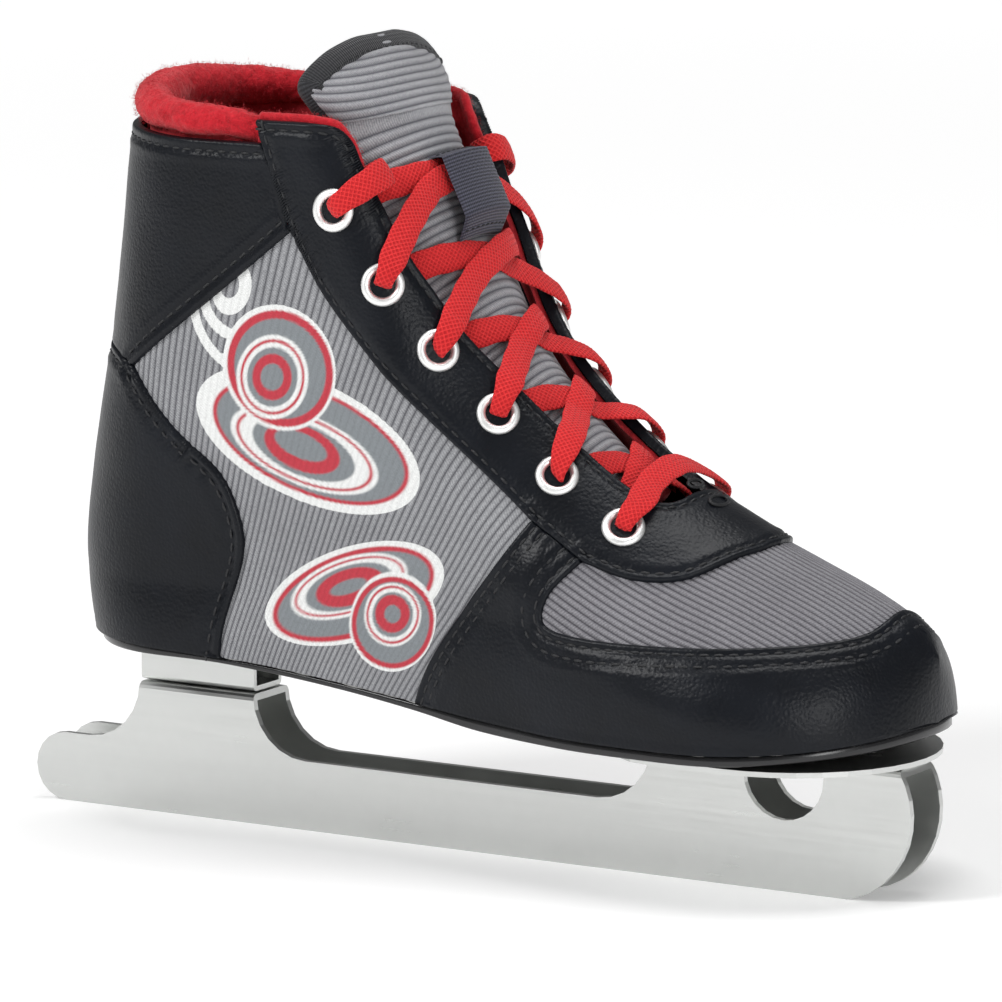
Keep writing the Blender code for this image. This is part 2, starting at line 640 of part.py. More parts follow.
def build_inner_layers():
    counter = boot_shell("heel_counter", STIFFENER, BOARD)
    outline = [(-112, 50), (-56, 50), (-56, 60), (-62, 74), (-78, 86), (-112, 92)]
    boolean(counter, make_cutter(prism("heel_counter_outline", outline, -60, 60)), "INTERSECT")
    puff = boot_shell("toe_puff", STIFFENER, BOARD)
    outline = [(84, 41), (130, 41), (130, 90), (94, 90), (88, 60)]
    boolean(puff, make_cutter(prism("toe_puff_outline", outline, -60, 60)), "INTERSECT")
    lining = boot_shell("lining", LINING, RED_FLEECE)
    outline = [(-112, 41.5), (-20, 41.5), (18, 41.5), (60, 41.5), (60, 68), (44, 73), (31, 81),
               (10, 97), (-8, 113.5), (-24, 129), (-34, 144), (-40.5, 158), (-43.5, 164.6), (-112, 164.6)]
    boolean(lining, make_cutter(prism("lining_outline", outline, -60, 60)), "INTERSECT")
    return lining


def tube(name, centres, radii, mat, bevel_resolution=3):
    """A closed round tube of varying radius along a line."""
    curve = bpy.data.curves.new(name, "CURVE")
    curve.dimensions = "3D"
    curve.bevel_depth = MM
    curve.bevel_resolution = bevel_resolution
    curve.use_fill_caps = True
    spline = curve.splines.new("POLY")
    spline.points.add(len(centres) - 1)
    for point, centre, radius in zip(spline.points, centres, radii):
        point.co = (*(float(c) * MM for c in centre), 1)
        point.radius = float(radius)
    curve.materials.append(mat)
    obj = bpy.data.objects.new(name, curve)
    PARTS.objects.link(obj)
    return obj


def build_collar():
    """The padded roll round the top of the shaft, its ends inside the flaps."""
    # side-view place, depth inside the last's surface, radius: from the flap's edge to the back
    stations = [(-22.5, 160.6, 4.9, 2.7), (-31.0, 164.6, 4.9, 2.8), (-39.5, 166.8, 4.9, 2.9),
                (-47.0, 168.9, 3.2, 3.2), (-58.0, 169.2, 2.8, 3.5), (-70.0, 169.9, 3.2, 3.9),
                (-78.0, 170.6, 3.8, 4.5), (-82.5, 171.0, 4.3, 4.9)]
    near = []
    for x, z, depth, radius in stations:
        v, t = locate(x, z)
        near.append((*skin(v, -t, -depth)[0], radius))
    back = skin(1.93, -1.0, -4.6)[0]
    near.append((back[0], 0.0, 171.2, 5.1))
    near = np.array(near)
    far = near[::-1][1:] * [1, -1, 1, 1]
    line = through(np.vstack([near, far]), 41)
    return tube("collar_roll", line[:, :3], line[:, 3], RED_FLEECE)


# ---------------------------------------------------------------- eyelets, tongue and lace

def eyelet_places():
    """Section, t and frame of every eyelet, by side and number."""
    places = {}
    for side, word in ((-1, "outer"), (1, "inner")):
        for k, (x, z) in enumerate(EYELETS):
            v, t = locate(x, z)
            centre, normal = skin(v, side * t, 0.0)
            places[f"{word}_{k + 1}"] = (v, side * t, centre, normal)
    return places


def build_eyelets(eyestay):
    places = eyelet_places()
    profile = [(EYELET_FLANGE, 1.3), (EYELET_BARREL, 1.3), (EYELET_BARREL, -1.6), (EYELET_HOLE, -1.6),
               (EYELET_HOLE, 1.6), (3.2, 2.2), (4.3, 2.1), (EYELET_FLANGE, 1.5)]
    vertices, faces = [], []
    for name, (_, _, centre, normal) in places.items():
        obj = turned("eyelet_" + name, profile, EYELET_METAL, 12)
        turn = Vector(normal).to_track_quat("Z", "Y").to_matrix().to_4x4()
        obj.matrix_world = Matrix.Translation(Vector(centre) * MM) @ turn
        base = len(vertices)
        for depth in (-6, 6):
            for a in np.linspace(0, 2 * np.pi, 15)[:-1]:
                local = Vector((PUNCH_RADIUS * math.cos(a), PUNCH_RADIUS * math.sin(a), depth))
                vertices.append(tuple(Vector(centre) + turn.to_3x3() @ local))
        ring = 14
        faces += [[base + i, base + (i + 1) % ring, base + ring + (i + 1) % ring, base + ring + i]
                  for i in range(ring)]
        faces += [[base + i for i in range(ring)][::-1], [base + ring + i for i in range(ring)]]
    punches = add_mesh("eyelet_punches", vertices, faces)
    boolean(eyestay, make_cutter(punches))
    return places


def tongue_height(v, y):
    """Height of the tongue's outer face over the last: it arches between the flaps."""
    crown = table([(0.4, -5.4), (0.5, -4.6), (0.62, -3.6), (0.8, -2.6), (1.0, -2.2), (3.0, -2.0)], v)
    drop = table([(0.4, 0.4), (0.62, 2.2), (0.8, 3.2), (1.0, 5.6), (1.3, 7.2), (1.9, 6.2),
                  (1.98, 4.6), (2.07, 1.4), (2.15, 0.9), (3.0, 0.9)], v)
    return crown - drop * (np.abs(y) / 26.0)**2.2


def across_to_t(v, y):
    """t on section v where the last is y wide from its middle."""
    low, high = 0.0, 0.9
    for _ in range(30):
        t = 0.5 * (low + high)
        if last_point(v, rise(t))[1] < abs(y):
            low = t
        else:
            high = t
    return math.copysign(t, y)


def tongue_point(v, share, depth=0.0):
    """Point of the tongue at section v, share -1 to 1 across, depth below its outer face."""
    y = share * float(table(TONGUE_WIDTHS, v))
    t = across_to_t(v, y)
    return skin(v, t, tongue_height(v, y) - depth)


def layer(name, sections, shares, outer, inner, mat):
    """A closed sheet over the tongue's surface between two depths."""
    faces = [np.array([[tongue_point(v, s, depth)[0] for s in shares] for v in sections])
             for depth in (outer, inner)]
    return closed_sheet(name, faces[0], faces[1], mat)


def build_tongue():
    shares = np.sin(np.linspace(-1, 1, 11) * np.pi / 2 * 0.86) / math.sin(np.pi / 2 * 0.86)
    half_gap = 0.5 * TONGUE_JOINT_GAP / 45.0
    low = np.r_[np.linspace(0.42, 1.0, 12), np.linspace(1.04, TONGUE_HINGE - half_gap, 4)]
    layer("tongue", low, shares, 0.0, TONGUE_THICKNESS, GREY_KNIT)
    high = np.r_[np.linspace(TONGUE_HINGE + half_gap, 1.9, 7),
                 1.96, 2.01, 2.05, 2.1, 2.15, 2.19, 2.22, 2.24, 2.25]
    layer("tongue_top", high, shares, 0.0, TONGUE_THICKNESS, GREY_KNIT)


def ribbon(name, line, normals, widths, thickness, mat):
    """A flat band with rounded edges along a line; normals keep its face up where it lies flat."""
    line = np.asarray(line, float)
    widths = np.broadcast_to(np.asarray(widths, float), len(line))
    tangent = np.gradient(line, axis=0)
    tangent /= np.linalg.norm(tangent, axis=1, keepdims=True)
    face = normals[0]
    vertices, faces = [], []
    shape = [(1.0, 0.5), (-1.0, 0.5), (-1.0, -0.5), (1.0, -0.5)]
    for i, centre in enumerate(line):
        face = face - tangent[i] * np.dot(face, tangent[i])
        face /= np.linalg.norm(face)
        flat = normals[i] - tangent[i] * np.dot(normals[i], tangent[i])
        pull = 1.5 * np.linalg.norm(flat)**2 * (1 if np.dot(face, flat) > 0 else -1)
        face = face + pull * flat
        face /= np.linalg.norm(face)
        side = np.cross(tangent[i], face)
        vertices += [centre + side * a * widths[i] / 2 + face * b * thickness for a, b in shape]
    count = len(shape)
    for i in range(len(line) - 1):
        faces += [[i * count + k, i * count + (k + 1) % count, (i + 1) * count + (k + 1) % count,
                   (i + 1) * count + k] for k in range(count)]
    faces += [list(range(count)), [(len(line) - 1) * count + k for k in range(count)][::-1]]
    return add_mesh(name, vertices, faces, mat)


def flap_edge_t(v):
    """t of the flap's edge at section v."""
    places = sorted(locate(x, z) for x, z in FLAP_EDGE if 20 < x < 50 or -14 < x < 22)
    return float(np.interp(v, [p[0] for p in places], [p[1] for p in places]))


def crown_section(z):
    """Section whose top lies at height z on the front ridge."""
    v = np.linspace(0.3, 2.4, 400)
    return float(np.interp(z, section_ends(v)[1][:, 1], v))


def lace_half(side, eyelets):
    """Route (v, t, height, width) of one half of the lace, from the bottom bar to its tucked end."""
    hole, flat = LACE_WIDTH_IN_EYELET, LACE_WIDTH
    route = []
    for k in range(6, 0, -1):
        word = "outer" if side < 0 else "inner"
        v, t, centre, _ = eyelets[f"{word}_{k}"]
        step = abs(t / centre[1])                # t for each millimetre towards the ridge
        if k > 1:
            v_next, t_next = eyelets[f"{'inner' if side < 0 else 'outer'}_{k - 1}"][:2]
        else:
            v_next, t_next = v + 0.01, -t
        across = abs(t_next - t) / step          # millimetres from this eyelet to the next one

        def on_way(distance, height, width):
            share = distance / across
            return (v + share * (v_next - v), t + share * (t_next - t), height, width)

        below = [(v - 0.004, t - side * 1.6 * step, -3.2, hole), (v, t, -1.2, hole)]
        above = [(v, t, 1.0, hole), on_way(0.5, 2.6, hole), on_way(2.4, 3.7, hole)]
        if k > 1:
            above.append(on_way(5.2, 3.6, flat))
        if k == 6:
            bar = [(v, t - side * 5.2 * step, 3.5, flat), (v, t - side * 2.2 * step, 3.6, hole),
                   (v, t - side * 0.3 * step, 2.5, hole), (v, t, 1.0, hole)]
            route += bar + [(v, t, -1.2, hole), (v, t - side * 1.0 * step, -3.2, hole)]
        else:
            route += below + above
        edge = side * flap_edge_t(v)
        if k == 1:
            route += [(v + 0.01, edge + side * 1.2 * step, 3.5, flat),
                      (v + 0.02, edge - side * 3.6 * step, 1.6, flat),
                      (v + 0.02, edge - side * 4.8 * step, -1.4, flat),
                      (v + 0.02, edge - side * 2.0 * step, -4.4, flat),
                      (v + 0.02, edge + side * 5.0 * step, -5.4, flat),
                      (v + 0.01, edge + side * 12.0 * step, -5.8, hole)]
            break
        rest = 2.9 if side < 0 else 1.1              # the outer side's strand lies on top
        own = abs(t - edge) / step
        route.append(on_way(own + 0.3, -3.3 if k == 6 else 2.7, flat))
        own_next = abs(t_next + side * flap_edge_t(v_next)) / step
        other = across - own_next - FLAP_CLEARANCE
        for share in (0.3, 0.5, 0.7):
            at, t_at = on_way(own + share * (other - own), 0, 0)[:2]
            route.append((at, t_at, float(tongue_height(at, t_at / step)) + rest, flat))
        route.append(on_way(other, -2.9, flat))
        side = -side
    return route


def build_lace(eyelets):
    outer, inner = lace_half(-1, eyelets), lace_half(1, eyelets)
    v, t = eyelets["outer_6"][:2]
    bar = [(v + 0.01, -0.12, 2.7, LACE_WIDTH), (v + 0.012, 0.0, 2.6, LACE_WIDTH),
           (v + 0.01, 0.12, 2.7, LACE_WIDTH)]
    route = np.array(outer[::-1] + bar + inner)
    places, _ = skin(route[:, 0], route[:, 1], route[:, 2])
    steps = np.linalg.norm(np.diff(places, axis=0), axis=1)
    knots = np.r_[0, np.cumsum(steps**0.6)]
    samples = np.concatenate([np.linspace(low, high, 2 + int(step > 3.2) + int(step > 8))[:-1]
                              for low, high, step in zip(knots[:-1], knots[1:], steps)] + [knots[-1:]])
    along = smooth_curve(knots, route, samples)
    points, normals = skin(along[:, 0], along[:, 1], along[:, 2])
    line = np.hstack([points, normals, along[:, 3:]])
    ribbon("lace", line[:, :3], line[:, 3:6], line[:, 6], LACE_THICKNESS, RED_LACE)
    for name, end, before in (("lace_tip_outer", line[0, :3], line[2, :3]),
                              ("lace_tip_inner", line[-1, :3], line[-3, :3])):
        onward = (end - before) / np.linalg.norm(end - before)
        points = [end + onward * d for d in (1.0, 9.0)]
        tube(name, points, [1.3, 1.3], LACE_TIP, 2)


def build_loop():
    """The webbing keeper on the tongue that the top crossing of the lace passes under."""
    share = np.linspace(0, 1, 13)
    v = np.linspace(crown_section(LOOP_Z[0]), crown_section(LOOP_Z[1]), len(share))
    arch = 1.1 + LOOP_RISE * np.clip(np.sin(np.pi * share) * 2.6, 0, 1)
    across = np.linspace(-LOOP_WIDTH / 2, LOOP_WIDTH / 2, 9)

    def face(offset):
        return np.array([[skin(at, across_to_t(at, y), float(tongue_height(at, y)) + height + offset)[0]
                          for y in across] for at, height in zip(v, arch)])

    closed_sheet("tongue_loop", face(LOOP_THICKNESS / 2), face(-LOOP_THICKNESS / 2), WEBBING)


def main():
    runner = build_runner()
    build_mounting(runner)
    build_sole()
    panels = build_panels()
    build_inner_layers()
    build_collar()
    eyelets = build_eyelets(panels["eyestay"])
    build_tongue()
    build_lace(eyelets)
    build_loop()


main()
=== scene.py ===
"""The looks of the double-runner ice skate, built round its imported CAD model.

Lengths are in millimetres, in the CAD model's frame: x to the toe, y to the inner side, z up, 0 on the ice.
The upper is one smooth surface, skin(v, t, height). v runs from the toe (0) over the heel's corner (1) to
the collar (2), and t from the outer side's edge (-1) over the top ridge (0) to the inner side's edge (1).
"""
import math

import bmesh
import bpy
import numpy as np
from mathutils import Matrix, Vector, noise
from mathutils.geometry import delaunay_2d_cdt


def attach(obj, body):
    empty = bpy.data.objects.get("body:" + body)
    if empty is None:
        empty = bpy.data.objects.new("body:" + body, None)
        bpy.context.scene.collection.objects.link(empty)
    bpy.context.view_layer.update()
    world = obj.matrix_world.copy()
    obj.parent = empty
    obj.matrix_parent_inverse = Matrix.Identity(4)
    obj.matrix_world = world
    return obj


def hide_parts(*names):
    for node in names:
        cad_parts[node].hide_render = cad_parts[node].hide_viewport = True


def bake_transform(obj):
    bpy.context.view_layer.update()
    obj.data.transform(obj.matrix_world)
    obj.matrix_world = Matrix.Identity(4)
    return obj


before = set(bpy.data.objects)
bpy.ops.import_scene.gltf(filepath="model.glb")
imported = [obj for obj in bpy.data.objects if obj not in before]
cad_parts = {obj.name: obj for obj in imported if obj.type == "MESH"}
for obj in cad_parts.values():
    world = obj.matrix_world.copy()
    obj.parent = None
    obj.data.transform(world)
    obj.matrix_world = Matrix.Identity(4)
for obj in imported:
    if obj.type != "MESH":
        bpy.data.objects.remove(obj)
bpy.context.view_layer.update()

MM = 0.001
ROOT = "skate"                   # the body that the attached pieces ride on; the tongue and its binding ride on none

# ---------------------------------------------------------------- the boot's surface

# Stations round the boot, toe to heel: a point on the sole seam and one on the top ridge (x, z)
FOOT_STATIONS = [
    ((116.0, 39.8), (116.2, 54.5)),
    ((110.5, 38.4), (111.2, 62.0)),
    ((98.0, 36.7), (99.5, 68.6)),
    ((80.0, 35.6), (84.0, 75.2)),
    ((60.0, 35.4), (68.0, 82.2)),
    ((40.0, 35.6), (53.0, 90.5)),
    ((17.0, 37.0), (38.0, 101.0)),
    ((0.0, 38.7), (23.5, 113.5)),
    ((-22.0, 41.2), (12.5, 126.0)),
    ((-45.0, 43.6), (5.5, 137.5)),
    ((-72.0, 44.9), (0.5, 148.0)),
    ((-98.0, 45.6), (-3.5, 156.0)),
]
# Stations up the shaft: a point on the back seam and one on the front ridge
SHAFT_STATIONS = [
    ((-98.0, 45.6), (-3.5, 156.0)),
    ((-100.4, 64.0), (-5.8, 161.0)),
    ((-97.8, 84.0), (-7.6, 165.0)),
    ((-93.2, 108.0), (-9.0, 168.0)),
    ((-89.2, 134.0), (-10.0, 170.5)),
    ((-85.6, 172.0), (-11.8, 174.5)),
    ((-85.0, 190.0), (-25.5, 189.0)),
]
LAST_SECTION = 2.2566           # the tip of the tongue, above the collar at 2

HEEL_X, TOE_X = -98.0, 116.0    # ends of the sole
SOLE_MIDDLE = 0.5 * (TOE_X + HEEL_X)
SOLE_LENGTH = TOE_X - HEEL_X
SHAFT_HALF_WIDTH = 33.0
HEEL_ROUNDING = 30.0
TOE_ROUNDING = 44.0
SOLE_HALF_WIDTH = [(-98, 29.0), (-60, 29.5), (-25, 28.0), (0, 28.8), (25, 31.8), (50, 35.8),
                   (75, 38.2), (95, 38.5), (118, 38.5)]
MEAN_HALF_WIDTH = 33.0          # turns an inset all round the sole into a share of its width
TOE_SWING = [(-98, 0.0), (-20, 0.0), (40, 0.6), (80, 3.0), (118, 6.0)]
SOLE_BOTTOM = [(-98, 42.9), (-88, 42.4), (-56, 42.4), (-40, 41.2), (-20, 39.0),
               (0, 36.4), (18, 33.8), (40, 32.7), (60, 32.6), (82, 32.8), (98, 34.0),
               (110, 35.4), (116, 36.6)]
FOOTBED_INSET = 6.5

# Seams between the panels, seen from the side (x, z)
HEEL_SEAM = [(-51.5, 30.0), (-51.0, 46.5), (-48.6, 57.0), (-44.9, 69.0), (-45.4, 77.5),
             (-50.0, 87.5), (-62.0, 97.2), (-74.0, 110.5)]
BACK_SEAM = [(-74.0, 110.5), (-84.0, 113.5), (-112.0, 115.0)]
ANKLE_SEAM = [(-74.0, 110.5), (-60.9, 120.7), (-45.0, 133.0), (-29.5, 145.3)]
FRONT_SEAM = [(-0.5, 30.0), (1.0, 39.0), (6.5, 50.0), (16.5, 64.0), (25.0, 74.5), (31.0, 83.2)]
FLAP_TOP = (-38.8, 170.3)
FLAP_REAR_HIGH = [FLAP_TOP, (-35.2, 160.0), (-29.5, 145.3)]
FLAP_REAR_MID = [(-29.5, 145.3), (-20.0, 130.8), (-5.6, 115.4), (10.5, 100.0), (31.0, 83.2)]
FLAP_REAR_LOW = [(31.0, 83.2), (44.5, 75.0)]
FLAP_REAR_TOE = [(44.5, 75.0), (56.0, 71.7), (67.0, 71.8), (74.7, 75.8), (80.0, 79.0), (84.0, 95.0)]
FLAP_FRONT = [(60.5, 98.0), (57.5, 86.6), (49.2, 88.6), (35.8, 97.6), (22.8, 108.1),
              (9.3, 121.4), (0.8, 133.9), (-6.4, 146.4), (-13.9, 161.0), (-17.0, 167.0),
              (-21.0, 170.1), FLAP_TOP]
COLLAR_LINE = [(-112.0, 166.0), (-85.0, 165.6), (-60.0, 164.9), (-36.9, 165.0)]
TOE_CAP_SEAM = [(44.5, 75.0), (38.4, 67.5), (37.6, 61.2), (46.0, 59.0), (67.5, 58.4),
                (91.0, 59.0), (104.0, 60.4), (107.5, 63.0), (109.5, 72.0)]

# Eyelets down the flap (x, z), from the top one
EYELETS = [(-17.7, 151.1), (-6.4, 134.5), (4.9, 119.5), (18.5, 105.3), (33.7, 92.2), (50.6, 81.6)]

TONGUE_THICKNESS = 4.0
TONGUE_WIDTHS = [(0.40, 10.0), (0.47, 17.5), (0.60, 23.0), (0.80, 26.0), (1.0, 27.0), (1.6, 27.0),
                 (1.9, 28.0), (2.0, 30.5), (2.06, 32.2), (2.10, 32.0), (2.15, 28.7), (2.19, 23.8),
                 (2.22, 18.4), (2.24, 12.2), (2.25, 8.0)]


def smooth_curve(knots, points, where):
    """Value at each place in where of the smooth curve through points at knots."""
    knots = np.asarray(knots, float)
    points = np.asarray(points, float)
    where = np.clip(np.asarray(where, float), knots[0], knots[-1])
    before = np.r_[0, np.arange(len(knots) - 1)]
    after = np.r_[np.arange(1, len(knots)), len(knots) - 1]
    span = (knots[after] - knots[before]).reshape((-1,) + (1,) * (points.ndim - 1))
    slopes = (points[after] - points[before]) / span
    k = np.clip(np.searchsorted(knots, where, side="right") - 1, 0, len(knots) - 2)
    step = knots[k + 1] - knots[k]
    s = (where - knots[k]) / step
    if points.ndim > 1:
        step, s = step[..., None], s[..., None]
    return ((2 * s**3 - 3 * s**2 + 1) * points[k] + (s**3 - 2 * s**2 + s) * step * slopes[k]
            + (3 * s**2 - 2 * s**3) * points[k + 1] + (s**3 - s**2) * step * slopes[k + 1])


def through(points, count):
    """A smooth open line of count points through a few given ones."""
    points = np.asarray(points, float)
    steps = np.linalg.norm(points[1:] - points[:-1], axis=1)
    knots = np.r_[0, np.cumsum(np.sqrt(steps))]
    return smooth_curve(knots, points, np.linspace(0, knots[-1], count))


def reach_of(points):
    """Distance along a line from its start to each of its points."""
    return np.r_[0, np.cumsum(np.linalg.norm(np.diff(points, axis=0), axis=1))]


def read_along(line, reach, at):
    """A line's points, or other columns, read at distances along it."""
    return np.stack([np.interp(at, reach, column) for column in np.asarray(line).T], 1)


def table(pairs, where):
    """Smooth value of a table of (place, value) pairs."""
    return smooth_curve([p[0] for p in pairs], [p[1] for p in pairs], where)


def station_knots(stations):
    """How far both ends have moved in all, from station to station."""
    low = np.array([s[0] for s in stations])
    high = np.array([s[1] for s in stations])
    moved = np.linalg.norm(np.diff(low, axis=0), axis=1) + np.linalg.norm(np.diff(high, axis=0), axis=1)
    return np.r_[0, np.cumsum(moved)]


FOOT_KNOTS = station_knots(FOOT_STATIONS) / station_knots(FOOT_STATIONS)[-1]
SHAFT_KNOTS = 1 + station_knots(SHAFT_STATIONS) / station_knots(SHAFT_STATIONS)[-2]


def back_x(z):
    """x of the seam up the back at height z."""
    return smooth_curve([s[0][1] for s in SHAFT_STATIONS], [s[0][0] for s in SHAFT_STATIONS], z)


def section_ends(v):
    """Lower and upper end (x, z) of section v: 0 at the toe, 1 at the heel, 2 at the collar."""
    v = np.asarray(v, float)
    in_shaft = (v > 1)[..., None]
    ends = []
    for k in (0, 1):
        foot = smooth_curve(FOOT_KNOTS, [s[k] for s in FOOT_STATIONS], np.clip(v, 0, 1))
        shaft = smooth_curve(SHAFT_KNOTS, [s[k] for s in SHAFT_STATIONS], np.clip(v, 1, 3))
        if k == 0:
            shaft[..., 0] = back_x(shaft[..., 1])
        ends.append(np.where(in_shaft, shaft, foot))
    return ends


def rounding(t, power):
    """0 at t = 0, 1 from t = 1, with a round shoulder between."""
    t = np.clip(t, 0, 1)
    return (1 - (1 - t)**power)**(1 / power)


def last_point(v, a):
    """Side view x, z and half width y of the last at section v, a from its lower end to the top."""
    low, high = section_ends(v)
    a = np.asarray(a, float)
    x = low[..., 0] + (high[..., 0] - low[..., 0]) * a
    z = low[..., 1] + (high[..., 1] - low[..., 1]) * a
    length = np.linalg.norm(high - low, axis=-1)
    shaft = np.clip((z - 55) / 60, 0, 1) * np.clip((40 - x) / 45, 0, 1)
    shaft = shaft * shaft * (3 - 2 * shaft)
    width = table(SOLE_HALF_WIDTH, x) + np.sin(np.clip((z - 38) / 22, 0, 1) * np.pi)
    width = width * (1 - shaft) + SHAFT_HALF_WIDTH * shaft
    top_round = table([(0, 22), (.15, 32), (.35, 36), (.6, 32), (.85, 22), (1, 19), (1.3, 17), (3, 16)], v)
    power = table([(0, 1.7), (.4, 1.7), (.7, 1.85), (1, 2.0), (3, 2.1)], v)
    y = width * rounding((1 - a) * length / top_round, power)
    y = y * rounding((x - back_x(z)) / HEEL_ROUNDING, 2.0) * rounding((TOE_X - x) / TOE_ROUNDING, 2.1)
    return x, y, z


def centre_line(x, z):
    """The toe swings a little to the inner side; the shaft stands over the runner."""
    return table(TOE_SWING, x) * np.clip((115 - z) / 60, 0, 1)


def rise(t):
    """Share of a section's length reached at t: 1 is the top ridge (t = 0), 0 the edge (t = 1)."""
    return np.sin(0.5 * np.pi * (1 - np.abs(t)))**2


def skin(v, t, height=0.0):
    """Point of the boot at section v and t from -1 (outer side's edge) over 0 (ridge) to 1."""
    v, t, height = np.broadcast_arrays(np.asarray(v, float), np.asarray(t, float), height)

    def surface(v, t):
        x, y, z = last_point(v, rise(t))
        return np.stack([x, centre_line(x, z) + np.sign(t) * y, z], -1)

    tiny = 1e-4
    v_in = np.clip(v, 0.002, 2.44)
    t_in = np.clip(np.where(v < 1e-6, np.abs(t), t), -0.995, 0.995)
    along = surface(v_in + tiny, t_in) - surface(v_in - tiny, t_in)
    across = surface(v_in, t_in + tiny) - surface(v_in, t_in - tiny)
    normal = np.cross(across, along)
    on_seam = (v < 1e-6) | ((v > 0.999) & (np.abs(t) > 0.999))
    normal[..., 1] = np.where(on_seam, 0.0, normal[..., 1])
    normal /= np.linalg.norm(normal, axis=-1, keepdims=True)
    return surface(v, t) + normal * height[..., None], normal


def locate(points):
    """Section v and share of its length (0 below, 1 at the ridge) of side-view points x, z."""
    x, z = np.asarray(points, float).T
    low_v, high_v = np.zeros(len(x)), np.full(len(x), LAST_SECTION)
    for _ in range(40):
        v = 0.5 * (low_v + high_v)
        low, high = section_ends(v)
        side = (high[:, 0] - low[:, 0]) * (z - low[:, 1]) - (high[:, 1] - low[:, 1]) * (x - low[:, 0])
        low_v, high_v = np.where(side > 0, v, low_v), np.where(side > 0, high_v, v)
    run = high - low
    share = ((x - low[:, 0]) * run[:, 0] + (z - low[:, 1]) * run[:, 1]) / np.sum(run * run, axis=1)
    return v, share


def t_of(share):
    """t (0 to 1) of a share of a section's length."""
    return 1 - 2 / np.pi * np.arcsin(np.sqrt(np.clip(share, 0, 1)))


def seam(points, spacing=1.0):
    """A side-view seam as an (n, 2) array of v and t, without what lies off the boot."""
    line = through(points, 40 * len(points))
    reach = reach_of(line)
    at = np.linspace(0, reach[-1], max(2, int(reach[-1] / spacing)))
    v, share = locate(read_along(line, reach, at))
    on = (share > -0.012) & (share < 1.012)
    return np.stack([v[on], t_of(share[on])], 1)


# ---------------------------------------------------------------- mesh tools

def mesh_object(name, points, faces, mat, smooth=True):
    """A mesh from points in millimetres."""
    mesh = bpy.data.meshes.new(name)
    mesh.from_pydata((np.asarray(points, float) * MM).tolist(), [], faces)
    for each in (mat if isinstance(mat, (list, tuple)) else [mat]):
        mesh.materials.append(each)
    if smooth:
        mesh.shade_smooth()
    obj = bpy.data.objects.new(name, mesh)
    bpy.context.scene.collection.objects.link(obj)
    return obj


def set_weave(obj, coordinates):
    """Stores where each vertex lies in the cloth: millimetres across its ribs and along them."""
    flat = obj.data.attributes.new("weave", "FLOAT_VECTOR", "POINT")
    across = np.zeros((len(obj.data.vertices), 3), np.float32)
    across[:, :2] = coordinates
    flat.data.foreach_set("vector", across.ravel())


def face_out(obj, weld=0.004):
    """Joins points that coincide and turns the faces outwards."""
    work = bmesh.new()
    work.from_mesh(obj.data)
    bmesh.ops.remove_doubles(work, verts=work.verts, dist=weld * MM)
    bmesh.ops.recalc_face_normals(work, faces=work.faces)
    work.to_mesh(obj.data)
    work.free()
    obj.data.shade_smooth()


def grid_faces(rows, columns, start=0, round_columns=False):
    """Quads of a grid of points stored row by row."""
    last = columns if round_columns else columns - 1
    return [[start + i * columns + k, start + i * columns + (k + 1) % columns,
             start + (i + 1) * columns + (k + 1) % columns, start + (i + 1) * columns + k]
            for i in range(rows - 1) for k in range(last)]


def closed_sheet(rows, columns):
    """Upper, lower and rim faces of a solid between two grids of points, the lower one stored last."""
    count = rows * columns
    upper = grid_faces(rows, columns)
    lower = [[count + i for i in quad[::-1]] for quad in upper]
    rim = list(range(columns)) + [i * columns + columns - 1 for i in range(1, rows)]
    rim += [(rows - 1) * columns + k for k in range(columns - 2, -1, -1)]
    rim += [i * columns for i in range(rows - 2, 0, -1)]
    wall = [[a, count + a, count + b, b] for a, b in zip(rim, rim[1:] + rim[:1])]
    return upper, lower, wall


def kept_quads(keep):
    """Quads of a grid of points whose four corners are all kept."""
    columns = keep.shape[1]
    i, k = np.nonzero(keep[:-1, :-1] & keep[1:, :-1] & keep[1:, 1:] & keep[:-1, 1:])
    corner = i * columns + k
    return np.stack([corner, corner + 1, corner + columns + 1, corner + columns], 1)


def lumps(points, size, seed=0.0):
    """Soft noise, about -1 to 1, at each point."""
    offset = Vector((seed, 2.3 * seed, 5.1 * seed))
    return np.array([noise.noise(Vector(p) / size + offset) for p in points])


def roughen(obj, *layers):
    """Moves a surface in and out by layers of noise (depth, size, seed); returns points and normals."""
    mesh = obj.data
    points = np.array([tuple(p.co) for p in mesh.vertices]) / MM
    normals = np.array([tuple(p.normal) for p in mesh.vertices])
    points += normals * sum(depth * lumps(points, size, seed) for depth, size, seed in layers)[:, None]
    mesh.vertices.foreach_set("co", (points * MM).ravel())
    return points, normals


def frames_along(line, normals):
    """Tangent, side and up of a band along a line, its face kept near the given normals."""
    tangent = np.gradient(line, axis=0)
    tangent /= np.linalg.norm(tangent, axis=1, keepdims=True) + 1e-12
    up = np.empty_like(line)
    face = normals[0]
    for i in range(len(line)):
        face = face - tangent[i] * np.dot(face, tangent[i])
        face /= np.linalg.norm(face)
        flat = normals[i] - tangent[i] * np.dot(normals[i], tangent[i])
        pull = 0.5 * np.linalg.norm(flat)**2 * (1 if np.dot(face, flat) > 0 else -1)
        face = face + pull * flat
        face /= np.linalg.norm(face)
        up[i] = face
    return tangent, np.cross(tangent, up), up


